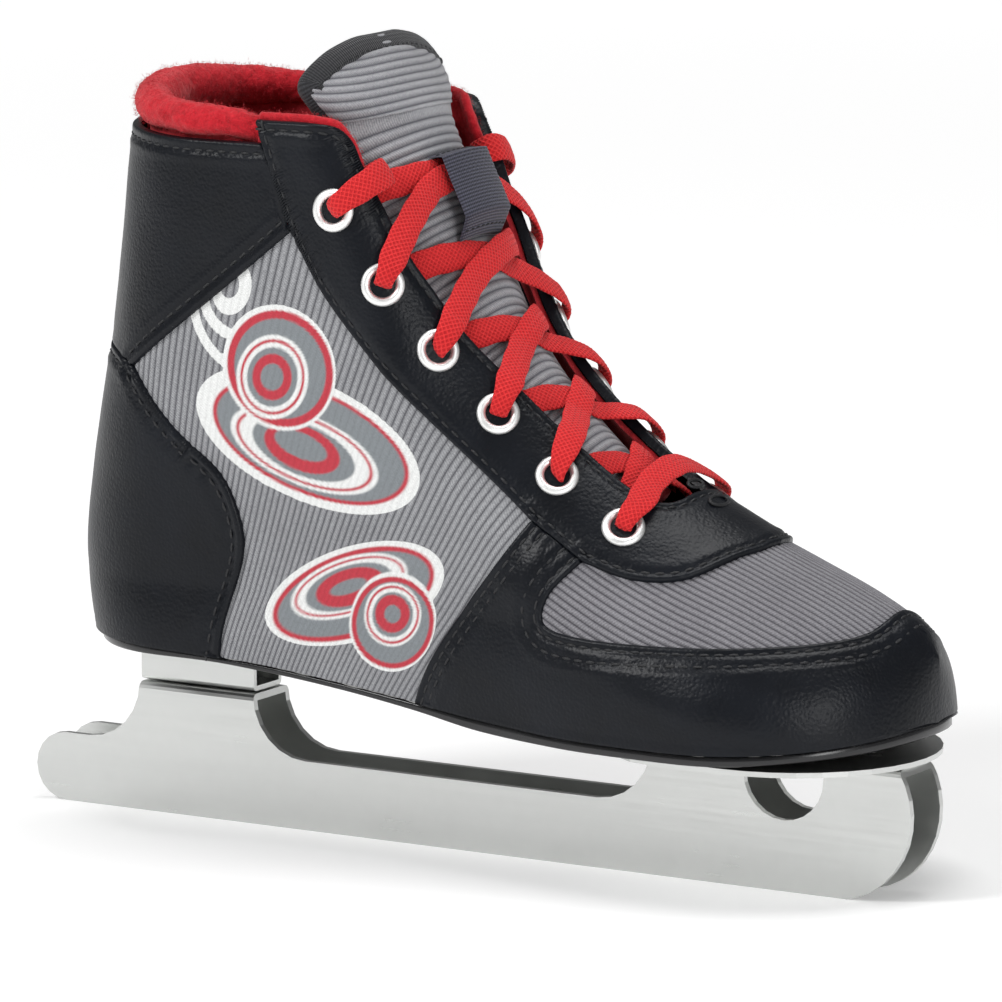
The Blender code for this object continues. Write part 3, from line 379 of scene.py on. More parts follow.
def swept(name, line, normals, outline, mat, scale=None):
    """A closed section (side, up) in millimetres swept along a line, its ends capped."""
    line = np.asarray(line, float)
    outline = np.asarray(outline, float)
    if outline.ndim == 2:
        outline = np.broadcast_to(outline, (len(line), *outline.shape))
    if scale is not None:
        outline = outline * np.asarray(scale)[:, None, None]
    _, side, up = frames_along(line, np.asarray(normals, float))
    points = (line[:, None, :] + side[:, None, :] * outline[:, :, :1] + up[:, None, :] * outline[:, :, 1:])
    count = outline.shape[1]
    faces = grid_faces(len(line), count, round_columns=True)
    faces += [list(range(count))[::-1], [(len(line) - 1) * count + k for k in range(count)]]
    obj = mesh_object(name, points.reshape(-1, 3), faces, mat)
    face_out(obj, 1e-5)
    return obj


def ellipse(half_width, half_height, count=12, power=1.0):
    """A closed ellipse, or a squarer one for a power below 1."""
    a = np.linspace(0, 2 * np.pi, count, endpoint=False)
    c, s = np.cos(a), np.sin(a)
    return np.stack([half_width * np.sign(c) * np.abs(c)**power,
                     half_height * np.sign(s) * np.abs(s)**power], 1)


def resample(line, spacing):
    """Places at even steps along a line of v, t (and more columns), measured on the boot."""
    line = np.asarray(line, float)
    reach = reach_of(skin(line[:, 0], line[:, 1])[0])
    at = np.linspace(0, reach[-1], max(3, int(round(reach[-1] / spacing)) + 1))
    return read_along(line, reach, at)


def shifted(line, distance, closed=False):
    """A line of v, t moved sideways over the boot by a distance in millimetres."""
    line = np.asarray(line, float)
    v, t = line[:, 0], line[:, 1]
    tiny = 2e-4
    v_in = np.clip(v, 2 * tiny, LAST_SECTION - 2 * tiny)
    t_in = np.clip(t, 2 * tiny, 1 - 2 * tiny)
    here, normal = skin(v_in, t_in)
    by_v = (skin(v_in + tiny, t_in)[0] - skin(v_in - tiny, t_in)[0]) / (2 * tiny)
    by_t = (skin(v_in, t_in + tiny)[0] - skin(v_in, t_in - tiny)[0]) / (2 * tiny)
    if closed:
        ahead = np.roll(here, -1, axis=0) - np.roll(here, 1, axis=0)
    else:
        ahead = np.gradient(here, axis=0)
    ahead /= np.linalg.norm(ahead, axis=1, keepdims=True) + 1e-9
    move = np.cross(normal, ahead) * distance
    vv, tt, vt = np.sum(by_v**2, 1), np.sum(by_t**2, 1), np.sum(by_v * by_t, 1)
    mv, mt = np.sum(by_v * move, 1), np.sum(by_t * move, 1)
    det = vv * tt - vt**2 + 1e-9
    return np.stack([v + (tt * mv - vt * mt) / det, t + (vv * mt - vt * mv) / det], 1)


def inside(polygon, points):
    """True for each point inside a closed polygon."""
    x, y = points[:, 0], points[:, 1]
    found = np.zeros(len(points), bool)
    for (ax, ay), (bx, by) in zip(polygon, np.roll(polygon, -1, axis=0)):
        if ay == by:
            continue
        crosses = ((ay > y) != (by > y)) & (x < (bx - ax) * (y - ay) / (by - ay) + ax)
        found ^= crosses
    return found


def distance_to(line, points, closed=False):
    """Distance on the boot, in millimetres, from each place (v, t) to a line of places."""
    ends = skin(line[:, 0], line[:, 1])[0]
    start, stop = ends[:-1], ends[1:]
    if closed:
        start, stop = ends, np.roll(ends, -1, axis=0)
    here = skin(points[:, 0], points[:, 1])[0]
    run = stop - start
    length = np.sum(run * run, axis=1) + 1e-12
    best = np.full(len(here), 1e9)
    for first in range(0, len(here), 4000):
        part = here[first:first + 4000]
        rel = part[:, None, :] - start[None]
        along = np.clip(np.sum(rel * run[None], axis=2) / length[None], 0, 1)
        gap = np.linalg.norm(rel - along[..., None] * run[None], axis=2)
        best[first:first + 4000] = gap.min(axis=1)
    return best


# ---------------------------------------------------------------- materials

def node_material(name):
    """An empty node material and its shader."""
    mat = bpy.data.materials.new(name)
    mat.use_nodes = True
    nodes = mat.node_tree.nodes
    nodes.clear()
    out = nodes.new("ShaderNodeOutputMaterial")
    shader = nodes.new("ShaderNodeBsdfPrincipled")
    mat.node_tree.links.new(shader.outputs[0], out.inputs[0])
    return mat, shader


class Nodes:
    """Short calls for the nodes of one material."""

    def __init__(self, name):
        self.mat, self.shader = node_material(name)
        self.tree = self.mat.node_tree

    def add(self, kind, values=None, **settings):
        node = self.tree.nodes.new(kind)
        for key, value in settings.items():
            setattr(node, key, value)
        for key, value in (values or {}).items():
            self.feed(node.inputs[key], value)
        return node

    def feed(self, socket, value):
        if isinstance(value, bpy.types.NodeSocket):
            self.tree.links.new(value, socket)
        else:
            socket.default_value = value

    def math(self, operation, *values):
        return self.add("ShaderNodeMath", dict(enumerate(values)), operation=operation).outputs[0]

    def place(self, scale=(1, 1, 1)):
        coordinates = self.add("ShaderNodeTexCoord").outputs["Object"]
        return self.add("ShaderNodeMapping", {"Vector": coordinates, "Scale": scale}).outputs[0]

    def weave(self):
        """Millimetres across and along the cloth."""
        stored = self.add("ShaderNodeAttribute", attribute_name="weave")
        parts = self.add("ShaderNodeSeparateXYZ", {0: stored.outputs["Vector"]})
        return parts.outputs[0], parts.outputs[1]

    def noise(self, vector, scale, detail=2.0, rough=0.5):
        values = {"Vector": vector, "Scale": scale, "Detail": detail, "Roughness": rough}
        return self.add("ShaderNodeTexNoise", values).outputs["Fac"]

    def ramp(self, factor, stops):
        node = self.add("ShaderNodeValToRGB", {0: factor})
        elements = node.color_ramp.elements
        while len(elements) < len(stops):
            elements.new(0.5)
        for element, (place, colour) in zip(elements, stops):
            element.position = place
            element.color = (*colour, 1)
        return node.outputs[0]

    def range(self, factor, low, high, from_low=0.0, from_high=1.0):
        values = {0: factor, 1: from_low, 2: from_high, 3: low, 4: high}
        return self.add("ShaderNodeMapRange", values).outputs[0]

    def wave(self, value, pitch):
        """0 to 1 and back over each pitch."""
        turned = self.math("MULTIPLY", value, 2 * math.pi / pitch)
        return self.math("MULTIPLY_ADD", self.math("SINE", turned), 0.5, 0.5)

    def bump(self, height, distance, strength=1.0, under=None):
        node = self.add("ShaderNodeBump", {"Height": height, "Strength": strength, "Distance": distance})
        if under is not None:
            self.feed(node.inputs["Normal"], under)
        return node.outputs[0]

    def finish(self, **sockets):
        for key, value in sockets.items():
            self.feed(self.shader.inputs[key.replace("_", " ")], value)
        return self.mat


def leather(name, pebble=0.75, depth=0.00013, dark=(0.0034, 0.0042, 0.0062)):
    """Coated black leather: small pebbles, soft creases and a slightly uneven gloss."""
    n = Nodes(name)
    where = n.place()
    cells = n.add("ShaderNodeTexVoronoi", {"Vector": where, "Scale": 1000 / pebble},
                  feature="SMOOTH_F1").outputs["Distance"]
    fine = n.noise(where, 2600, 3)
    broad = n.noise(where, 45, 3, 0.6)
    creases = n.noise(n.place((1.0, 1.0, 2.4)), 210, 4, 0.65)
    grain = n.bump(cells, depth, 0.75)
    grain = n.bump(fine, 0.00004, 0.6, grain)
    grain = n.bump(creases, 0.00005, 0.5, grain)
    colour = n.ramp(broad, [(0.3, dark), (0.75, tuple(2.0 * c for c in dark))])
    rough = n.math("ADD", n.range(broad, 0.33, 0.41, 0.25, 0.75), n.range(fine, -0.03, 0.03))
    return n.finish(Base_Color=colour, Roughness=rough, Normal=grain, Specular_IOR_Level=0.20)


def knit(name, pitch, light, dark, silver=0.0, rings=False):
    """Ribbed knit: light ribs with short slanting threads and painted shade in the grooves between them;
    rings adds the print.
    """
    n = Nodes(name)
    across, along = n.weave()
    rib = n.wave(across, pitch)
    slanted = n.math("ADD", along, n.math("MULTIPLY", across, 0.55))
    thread = n.wave(slanted, 0.62)
    second = n.wave(n.math("SUBTRACT", along, n.math("MULTIPLY", across, 0.9)), 0.47)
    where = n.place()
    speck = n.noise(where, 2300, 2, 0.7)
    patchy = n.noise(where, 60, 2)
    # The tone falls to the dark colour in the grooves between the ribs, as painted shade; the slanting
    # threads, specks and patches are the knit's own texture.
    tone = n.math("POWER", rib, 0.34)
    tone = n.math("MULTIPLY", tone, n.range(thread, 0.72, 1.0))
    tone = n.math("MULTIPLY", tone, n.range(speck, 0.62, 1.3, 0.25, 0.75))
    tone = n.math("MULTIPLY", tone, n.range(patchy, 0.9, 1.08, 0.3, 0.7))
    middle = tuple(0.5 * (a + b) for a, b in zip(light, dark))
    colour = n.ramp(tone, [(0.05, dark), (0.5, middle), (1.0, light)])
    relief = n.math("ADD", rib, n.math("MULTIPLY", thread, 0.35))
    relief = n.math("ADD", relief, n.math("MULTIPLY", second, 0.2))
    if rings:
        print_colour = n.add("ShaderNodeAttribute", attribute_name="ink").outputs["Vector"]
        cover = n.add("ShaderNodeAttribute", attribute_name="ink_cover").outputs["Fac"]
        worn = n.math("MULTIPLY_ADD", speck, 0.3, n.math("SUBTRACT", cover, 0.15))
        amount = n.range(worn, 0.0, 1.0, 0.35, 0.65)
        shade = n.math("MULTIPLY", n.range(tone, 0.88, 1.02), n.range(speck, 0.9, 1.05, 0.3, 0.7))
        dimmed = n.add("ShaderNodeVectorMath", {0: print_colour, "Scale": shade},
                       operation="SCALE").outputs[0]
        colour = n.add("ShaderNodeMix", {0: amount, 6: colour, 7: dimmed}, data_type="RGBA").outputs[2]
        relief = n.math("MULTIPLY", relief, n.range(amount, 1.0, 0.55))
    normal = n.bump(relief, 0.00022, 0.8)
    normal = n.bump(speck, 0.00006, 0.6, normal)
    return n.finish(Base_Color=colour, Roughness=0.72 - 0.25 * silver, Normal=normal,
                    Sheen_Weight=0.15, Sheen_Roughness=0.4, Specular_IOR_Level=0.4)


def fleece(name, colour=(0.60, 0.018, 0.03), deep=(0.30, 0.004, 0.01)):
    """Brushed red pile, with painted shade between its tufts."""
    n = Nodes(name)
    where = n.place()
    tufts = n.noise(where, 900, 4, 0.75)
    broad = n.noise(where, 130, 3, 0.6)
    mixed = n.math("MULTIPLY_ADD", tufts, 0.7, n.math("MULTIPLY", broad, 0.3))
    # The tint goes to the deep colour where the tufts dip, as painted shade between the tufts; the broad
    # noise adds the pile's own uneven tone.
    tint = n.ramp(mixed, [(0.3, deep), (0.6, colour)])
    normal = n.bump(tufts, 0.0005, 0.9)
    return n.finish(Base_Color=tint, Roughness=0.95, Normal=normal, Sheen_Weight=0.55,
                    Sheen_Roughness=0.45, Sheen_Tint=(1.0, 0.35, 0.35, 1.0), Specular_IOR_Level=0.2)


def lace_cloth(name):
    """Flat braid: two sets of slanting threads that cross in small cells, with painted highlights on the
    cells and painted shade between them.
    """
    n = Nodes(name)
    across, along = n.weave()
    slant = n.math("MULTIPLY", across, 0.95)
    one = n.wave(n.math("ADD", along, slant), LACE_BRAID)
    two = n.wave(n.math("SUBTRACT", along, slant), LACE_BRAID)
    cell = n.math("MAXIMUM", n.math("POWER", one, 2.0), n.math("POWER", two, 2.0))
    cell = n.math("MULTIPLY", cell, n.range(n.math("MULTIPLY", one, two), 0.75, 1.0))
    fuzz = n.noise(n.place(), 3500, 2, 0.7)
    # The colour is brighter on the cells, as painted highlight, and darker between them, as painted shade;
    # the fuzz is the braid's own texture.
    tone = n.math("MULTIPLY", n.range(cell, 0.35, 1.0), n.range(fuzz, 0.75, 1.2, 0.25, 0.75))
    colour = n.ramp(tone, [(0.1, (0.26, 0.004, 0.006)), (0.5, (0.58, 0.010, 0.014)),
                           (1.0, (0.80, 0.035, 0.035))])
    normal = n.bump(cell, 0.00028, 0.8)
    normal = n.bump(fuzz, 0.00008, 0.6, normal)
    return n.finish(Base_Color=colour, Roughness=0.78, Normal=normal, Sheen_Weight=0.2,
                    Sheen_Roughness=0.4, Sheen_Tint=(1.0, 0.5, 0.5, 1.0), Specular_IOR_Level=0.3)


def tape(name, dark, light, pitch=0.8):
    """Woven tape: small crosswise ribs over lengthwise threads."""
    n = Nodes(name)
    across, along = n.weave()
    ribs = n.wave(along, pitch)
    warp = n.wave(across, 0.55)
    fuzz = n.noise(n.place(), 2800, 2, 0.7)
    tone = n.math("MULTIPLY", ribs, n.range(warp, 0.6, 1.0))
    tone = n.math("MULTIPLY", tone, n.range(fuzz, 0.7, 1.25, 0.25, 0.75))
    colour = n.ramp(tone, [(0.0, dark), (1.0, light)])
    normal = n.bump(n.math("ADD", ribs, n.math("MULTIPLY", warp, 0.4)), 0.00022, 0.8)
    return n.finish(Base_Color=colour, Roughness=0.8, Normal=normal, Sheen_Weight=0.2, Sheen_Roughness=0.4)


def drawn_metal(name, colour, rough, grain=(6, 420, 420), depth=0.00001):
    """Satin metal with fine lines along one axis and a few soft marks."""
    n = Nodes(name)
    lines = n.noise(n.place(grain), 3.2, 4, 0.7)
    marks = n.noise(n.place(), 70, 3, 0.6)
    uneven = n.math("ADD", n.range(lines, -0.05, 0.05, 0.3, 0.7),
                    n.range(marks, rough - 0.04, rough + 0.05, 0.3, 0.7))
    tint = n.ramp(marks, [(0.3, tuple(0.93 * c for c in colour)), (0.7, colour)])
    normal = n.bump(lines, depth, 0.5)
    return n.finish(Base_Color=tint, Metallic=1.0, Roughness=uneven, Normal=normal)


def moulded(name, colour, rough, size=900, depth=0.00003):
    """Moulded rubber or plastic with a faint skin texture."""
    n = Nodes(name)
    where = n.place()
    fine = n.noise(where, size, 3)
    broad = n.noise(where, 60, 3, 0.6)
    tint = n.ramp(broad, [(0.3, colour), (0.7, tuple(1.5 * c for c in colour))])
    uneven = n.range(broad, rough - 0.05, rough + 0.08, 0.3, 0.7)
    return n.finish(Base_Color=tint, Roughness=uneven, Normal=n.bump(fine, depth, 0.5))


# ---------------------------------------------------------------- finishes

QUARTER_PITCH = 1.6              # distance between the ribs of the knit
TONGUE_PITCH = 2.1
LACE_BRAID = 1.25                # length of one cell of the lace's braid
INK_EDGE = 0.3                   # over this width an edge of the print fades out
WHITE, RED, GREY = (0.80, 0.81, 0.80), (0.50, 0.035, 0.055), (0.215, 0.235, 0.25)

# Printed rings on the quarters, back to front: centre x and z, long and short radius, tilt in degrees,
# colour (None leaves the knit bare) and the x they end at
RINGS = [
    (-40.0, 128.0, 17.5, 17.5, 0, WHITE, -45.5), (-40.0, 128.0, 15.0, 15.0, 0, None, -45.5),
    (-44.0, 129.5, 10.9, 10.9, 0, WHITE, -45.5), (-44.0, 129.5, 8.0, 8.0, 0, None, -45.5),
    (-45.7, 131.2, 6.7, 5.1, 66, WHITE, 99), (-46.2, 131.6, 3.0, 2.4, 66, None, 99),
    (-26.2, 97.2, 30.4, 14.8, -15, WHITE, 99), (-25.4, 96.9, 26.6, 12.7, -14, RED, 99),
    (-25.4, 96.9, 25.5, 11.8, -14, GREY, 99), (-27.1, 94.9, 20.1, 8.7, -14, WHITE, 99),
    (-27.1, 94.9, 18.6, 8.0, -14, RED, 99), (-27.1, 94.9, 17.7, 7.4, -14, WHITE, 99),
    (-27.3, 94.9, 13.9, 6.3, -14, GREY, 99), (-27.7, 95.2, 10.2, 5.4, -12, RED, 99),
    (-28.0, 95.9, 7.2, 3.1, -15, GREY, 99),
    (-33.0, 113.6, 15.3, 14.6, 0, WHITE, 99), (-32.8, 113.4, 14.3, 13.5, 0, RED, 99),
    (-32.8, 113.4, 12.4, 11.6, 0, GREY, 99), (-34.9, 111.3, 10.3, 9.3, 48, WHITE, 99),
    (-34.9, 111.3, 9.2, 8.3, 48, RED, 99), (-34.9, 111.3, 8.5, 7.6, 48, WHITE, 99),
    (-34.9, 111.3, 7.3, 6.5, 48, GREY, 99), (-35.0, 111.3, 5.6, 5.1, 49, RED, 99),
    (-35.0, 111.3, 3.3, 3.0, 49, GREY, 99),
    (-15.2, 62.3, 25.6, 10.8, 20, WHITE, 99), (-15.6, 62.1, 23.2, 9.6, 21, RED, 99),
    (-15.6, 62.1, 21.9, 8.4, 21, GREY, 99), (-17.0, 63.7, 16.9, 6.6, 21, WHITE, 99),
    (-17.0, 63.7, 15.9, 5.9, 21, RED, 99), (-17.0, 63.7, 15.2, 5.4, 21, WHITE, 99),
    (-17.2, 63.5, 12.6, 4.8, 21, GREY, 99), (-17.0, 63.5, 9.8, 4.1, 20, RED, 99),
    (-17.5, 63.5, 5.4, 1.6, 21, GREY, 99),
    (-5.1, 56.7, 12.5, 11.1, 39, WHITE, 99), (-5.1, 56.5, 11.6, 10.4, 28, RED, 99),
    (-5.1, 56.5, 10.3, 9.2, 28, GREY, 99), (-5.3, 58.3, 8.0, 7.2, 25, WHITE, 99),
    (-5.3, 58.3, 7.4, 6.6, 25, RED, 99), (-5.3, 58.3, 6.8, 6.0, 25, WHITE, 99),
    (-5.3, 58.3, 5.7, 5.1, 25, GREY, 99), (-5.4, 58.5, 4.8, 4.3, 19, RED, 99),
    (-5.4, 58.4, 2.3, 2.1, 15, GREY, 99),
]


def ring_ink(x, z):
    """Colour and cover of the printed rings at side-view points."""
    colour, cover = np.zeros((len(x), 3)), np.zeros(len(x))
    for cx, cz, long_radius, short_radius, tilt, ink, end in RINGS:
        c, s = math.cos(math.radians(tilt)), math.sin(math.radians(tilt))
        along, across = (x - cx) * c + (z - cz) * s, (z - cz) * c - (x - cx) * s
        beyond = (np.hypot(along / long_radius, across / short_radius) - 1) * short_radius
        share = np.clip(0.5 - beyond / INK_EDGE, 0, 1) * (x < end)
        colour = colour * (1 - share[:, None]) + np.array(ink or (0, 0, 0)) * share[:, None]
        cover = cover * (1 - share) + (share if ink else 0)
    return colour / np.maximum(cover, 1e-3)[:, None], cover


def set_ink(obj, colour, cover):
    """Stores the print's colour and cover at each vertex."""
    stored = obj.data.attributes.new("ink", "FLOAT_VECTOR", "POINT")
    stored.data.foreach_set("vector", colour.astype(np.float32).ravel())
    stored = obj.data.attributes.new("ink_cover", "FLOAT", "POINT")
    stored.data.foreach_set("value", cover.astype(np.float32))


LEATHER = leather("black_leather_grain")
THREAD = moulded("black_thread", (0.006, 0.0065, 0.008), 0.55, 2500, 0.00005)
GLUE = moulded("sole_glue", (0.30, 0.30, 0.29), 0.5)
SOLE = moulded("black_sole_rim", (0.010, 0.010, 0.011), 0.22, 500, 0.00001)
FOOTBED = moulded("black_footbed", (0.012, 0.012, 0.013), 0.8, 1500, 0.0001)
BOARD = moulded("fibre_board_raw", (0.30, 0.21, 0.13), 0.9, 900, 0.0001)
# Each knit's second colour is the painted shade in the grooves between its ribs.
QUARTER_KNIT = knit("grey_rib_knit", QUARTER_PITCH, (0.36, 0.365, 0.38), (0.055, 0.055, 0.065), rings=True)
VAMP_KNIT = knit("dark_rib_knit", QUARTER_PITCH, (0.27, 0.265, 0.285), (0.035, 0.032, 0.042))
TONGUE_KNIT = knit("silver_rib_knit", TONGUE_PITCH, (0.40, 0.40, 0.42), (0.06, 0.06, 0.075), silver=0.6)
# Each fleece's second colour is the painted shade between its tufts.
FLEECE = fleece("red_fleece_pile")
LINING_FLEECE = fleece("red_fleece_lining", (0.55, 0.035, 0.045), (0.33, 0.012, 0.02))
LACE = lace_cloth("red_lace_braid")
LACE_TIP = moulded("red_lace_tip", (0.35, 0.008, 0.012), 0.3)
TAPE = tape("navy_webbing_weave", (0.012, 0.012, 0.022), (0.085, 0.085, 0.125))
BINDING = tape("black_nylon_binding", (0.004, 0.004, 0.006), (0.03, 0.03, 0.036), 0.7)
ALUMINIUM = drawn_metal("satin_aluminium_drawn", (0.67, 0.68, 0.665), 0.34)
STEEL = drawn_metal("zinc_steel", (0.62, 0.62, 0.60), 0.38, (90, 90, 90))
EYELET = drawn_metal("satin_eyelet", (0.95, 0.95, 0.94), 0.48, (60, 60, 60))


def stand_in(obj, *nodes, slot=None, body=ROOT):
    """A piece that rides a body and stands for CAD nodes."""
    if nodes:
        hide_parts(*nodes)
    if body:
        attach(obj, body)
    return obj


# ---------------------------------------------------------------- the panels' edges on the boot

HEEL = seam(HEEL_SEAM)
BACK = seam(BACK_SEAM)
ANKLE = seam(ANKLE_SEAM)
FRONT = seam(FRONT_SEAM)
REAR_HIGH = seam(FLAP_REAR_HIGH)
REAR_MID = seam(FLAP_REAR_MID)
REAR_LOW = seam(FLAP_REAR_LOW)
REAR_TOE = seam(FLAP_REAR_TOE)
FLAP_EDGE = seam(FLAP_FRONT)
COLLAR = seam(COLLAR_LINE)
TOE_CAP = seam(TOE_CAP_SEAM)
UNDER_COLLAR = seam([(x, z - 0.1) for x, z in FLAP_REAR_HIGH if z < 161] + [(-36.9, 165.0)])


def straight(start, stop, count=60):
    """An edge along the sole seam, the ridge or the back seam."""
    return np.linspace(start, stop, count)


class Edge:
    """One side of a panel: its line and how the leather is finished there."""

    def __init__(self, line, finish="plain", rows=()):
        self.line = resample(line, 0.6) if len(line) > 2 else np.asarray(line, float)
        self.finish = finish                     # plain, over (cut edge on top), piped, weld, sole
        self.rows = rows                         # distances of the stitch rows from the edge
        self.sign = 1                            # side of the line the panel is on, found by patch


def roll(distance, radius):
    """Drop of a rounded edge at a distance from it."""
    gap = np.clip(radius - distance, 0, radius)
    return radius - np.sqrt(np.maximum(radius**2 - gap**2, 0))


def relief(edges, places, top, puff=0.35, wrinkle=0.12, seed=0.0):
    """Height of a leather panel's face at places (v, t)."""
    height = np.full(len(places), float(top))
    nearest = np.full(len(places), 50.0)
    for edge in edges:
        if edge.finish in ("weld", "sole"):
            continue
        gap = distance_to(edge.line, places)
        nearest = np.minimum(nearest, gap)
        if edge.finish == "over":
            height -= roll(gap, 0.75)
        if edge.finish == "piped":
            height += np.where(gap < 2.0, 0.75 * np.sin(np.pi * np.clip(gap / 2.0, 0, 1))**0.6 - 0.35, 0)
        if edge.finish == "plain":
            height -= roll(gap, 0.35)
        for row in edge.rows:
            height -= 0.42 * np.exp(-((gap - row) / 0.5)**2)
        if edge.rows:
            last = edge.rows[-1]
            height += 0.22 * np.exp(-((gap - last - 1.7) / 1.1)**2)
    height += puff * (1 - np.exp(-np.clip(nearest - 2.5, 0, None) / 4.0))
    here = skin(places[:, 0], places[:, 1])[0]
    height += wrinkle * lumps(here, 11.0, seed) + 0.3 * wrinkle * lumps(here, 3.4, seed + 7)
    return height


PANEL_SPACING = 1.7              # between the points inside a leather panel
EDGE_ROWS = (0.22, 0.5, 0.9, 1.4, 2.0, 2.7)      # rows of points along its edges
SKIRT = -1.0                     # height of the lower end of its turned-down edge
FLAT = np.array([230.0, 120.0])  # about how many millimetres one unit of v and of t is
GRID = np.array([215.0, 115.0])  # the same, for the spacing of the points inside


def patch(edges):
    """Triangles over half a panel: places (v, t), faces, and the places round its boundary."""
    outline = []
    for edge in edges:
        for place in edge.line:
            if not outline or np.linalg.norm((place - outline[-1]) * FLAT) > 0.35:
                outline.append(place)
    if np.linalg.norm((outline[0] - outline[-1]) * FLAT) < 0.35:
        outline.pop()
    outline = np.array(outline)
    rows = []
    free = [edge for edge in edges if edge.finish not in ("weld", "sole")]
    for edge in free:
        middle = edge.line[len(edge.line) // 2:len(edge.line) // 2 + 2]
        edge.sign = 1 if inside(outline, shifted(middle, 0.6)[:1])[0] else -1
        rows += [(shifted(edge.line, edge.sign * step), step) for step in EDGE_ROWS]
    places = []
    for row, step in rows:
        clear = np.min([distance_to(edge.line, row) for edge in free], axis=0)
        places.append(row[(clear > 0.93 * step) & inside(outline, row)])
    low, high = outline.min(0), outline.max(0)
    step_v, step_t = PANEL_SPACING / GRID
    across, along = np.arange(low[0], high[0], step_v), np.arange(low[1], high[1], step_t)
    grid = np.stack(np.meshgrid(across, along, indexing="ij"), -1)
    grid[::2, :, 1] += 0.5 * step_t
    grid = grid.reshape(-1, 2)
    grid = grid[inside(outline, grid)]
    clear = np.min([distance_to(edge.line, grid) for edge in free], axis=0)
    clear = np.where(clear > 3.2, distance_to(outline, grid, True) + EDGE_ROWS[-1], 0)
    places.append(grid[clear > 3.3])
    places = np.vstack([outline] + places)
    count = len(outline)
    flat = [Vector(p) for p in (places * FLAT).tolist()]
    loop = [(i, (i + 1) % count) for i in range(count)]
    found, _, faces, source, _, _ = delaunay_2d_cdt(flat, loop, [], 0, 1e-5)
    found = np.array([tuple(p) for p in found]) / FLAT
    centres = np.array([found[list(face)].mean(axis=0) for face in faces])
    kept = inside(outline, centres)
    faces = [list(face) for face, keep in zip(faces, kept) if keep]
    back = {}
    for i, origin in enumerate(source):
        for each in origin:
            back[each] = i
    return found, faces, [back[i] for i in range(count)]


def panel(name, edges, top, **shape):
    """A leather panel on both sides of the boot, with rounded edges turned down to the layer below."""
    places, faces, loop = patch(edges)
    up = relief(edges, places, top, **shape)
    vertices, all_faces = [], []
    for side in (-1, 1):
        start = len(vertices)
        vertices += list(skin(places[:, 0], side * places[:, 1], up)[0])
        low = len(vertices)
        under = places[loop]
        vertices += list(skin(under[:, 0], side * under[:, 1], SKIRT)[0])
        all_faces += [[start + i for i in face] for face in faces]
        count = len(loop)
        for k in range(count):
            a, b = loop[k], loop[(k + 1) % count]
            (va, ta), (vb, tb) = places[a], places[b]
            on_weld = (ta == tb == 0) or (va == vb == 0) or (ta == tb == 1 and min(va, vb) >= 1)
            if not on_weld:
                all_faces.append([start + a, start + b, low + (k + 1) % count, low + k])
    obj = mesh_object(name, vertices, all_faces, LEATHER)
    face_out(obj)
    return obj


def capsule_mesh(centres, ahead, up, length, radius):
    """Many short rounded stitches in one list of points and faces."""
    sides = 6
    around = np.linspace(0, 2 * np.pi, sides + 1)[:-1]
    stations = [(-0.5, 0.35), (-0.36, 0.9), (0.0, 1.0), (0.36, 0.9), (0.5, 0.35)]
    side = np.cross(ahead, up)
    points, faces = [], []
    for c, a, s, u in zip(centres, ahead, side, up):
        start = len(points)
        for along, wide in stations:
            sink = -0.9 * radius * (2 * abs(along))**2
            for turn in around:
                points.append(c + a * along * length + s * math.cos(turn) * radius * wide
                              + u * (math.sin(turn) * radius * wide + sink))
        faces += grid_faces(len(stations), sides, start, True)
        last = start + sides * (len(stations) - 1)
        faces += [[start + k for k in range(sides)][::-1], [last + k for k in range(sides)]]
    return points, faces


def stitches(name, rows, height, length=2.5, pitch=3.2, radius=0.36):
    """Stitch rows on both sides: each row is a line of v, t; height gives the surface under them."""
    points, faces = [], []
    for line in rows:
        line = resample(line, pitch)
        middle = 0.5 * (line[1:] + line[:-1])
        middle = middle[(middle[:, 1] > 0.002) & (middle[:, 1] < 0.998)]
        if len(middle) < 3:
            continue
        level = height(middle) + 0.16
        for side in (-1, 1):
            here, up = skin(middle[:, 0], side * middle[:, 1], level)
            ahead = np.gradient(here, axis=0)
            ahead -= up * np.sum(ahead * up, axis=1, keepdims=True)
            ahead /= np.linalg.norm(ahead, axis=1, keepdims=True)
            new_points, new_faces = capsule_mesh(here, ahead, up, length, radius)
            faces += [[len(points) + i for i in face] for face in new_faces]
            points += new_points
    obj = mesh_object(name, points, faces, THREAD)
    return stand_in(obj, slot="black_leather")


def leather_panel(name, edges, seed, top=1.0, **shape):
    """One panel of the upper with its rows of stitches."""
    obj = panel(name + "_leather", edges, top, seed=seed, **shape)
    rows = [shifted(edge.line, edge.sign * row) for edge in edges for row in edge.rows]
    stitches(name + "_stitches", rows, lambda at: relief(edges, at, top, seed=seed))
    stand_in(obj, name, slot="black_leather")


# The seams' ends lie exactly on the sole seam and back seam (t = 1) or on the ridge (t = 0)
for line, at, value in ((HEEL, 0, 1.0), (FRONT, 0, 1.0), (BACK, -1, 1.0), (COLLAR, 0, 1.0),
                        (TOE_CAP, -1, 0.0), (REAR_TOE, -1, 0.0), (FLAP_EDGE, 0, 0.0)):
    line[at, 1] = value
heel_v, front_v, back_v, collar_v = HEEL[0, 0], FRONT[0, 0], BACK[-1, 0], COLLAR[0, 0]

leather_panel("heel_cover", [
    Edge(HEEL, "piped", (2.9,)), Edge(BACK, "over", (2.2,)),
    Edge(straight((back_v, 1), (1, 1)), "weld"), Edge(straight((1, 1), (heel_v, 1)), "sole"),
], 1.0, top=1.15)

leather_panel("ankle_panel", [
    Edge(BACK[::-1]), Edge(ANKLE, "piped", (3.0,)), Edge(UNDER_COLLAR),
    Edge(COLLAR[::-1], "over", (2.4,)), Edge(straight((collar_v, 1), (back_v, 1)), "weld"),
], 2.0)

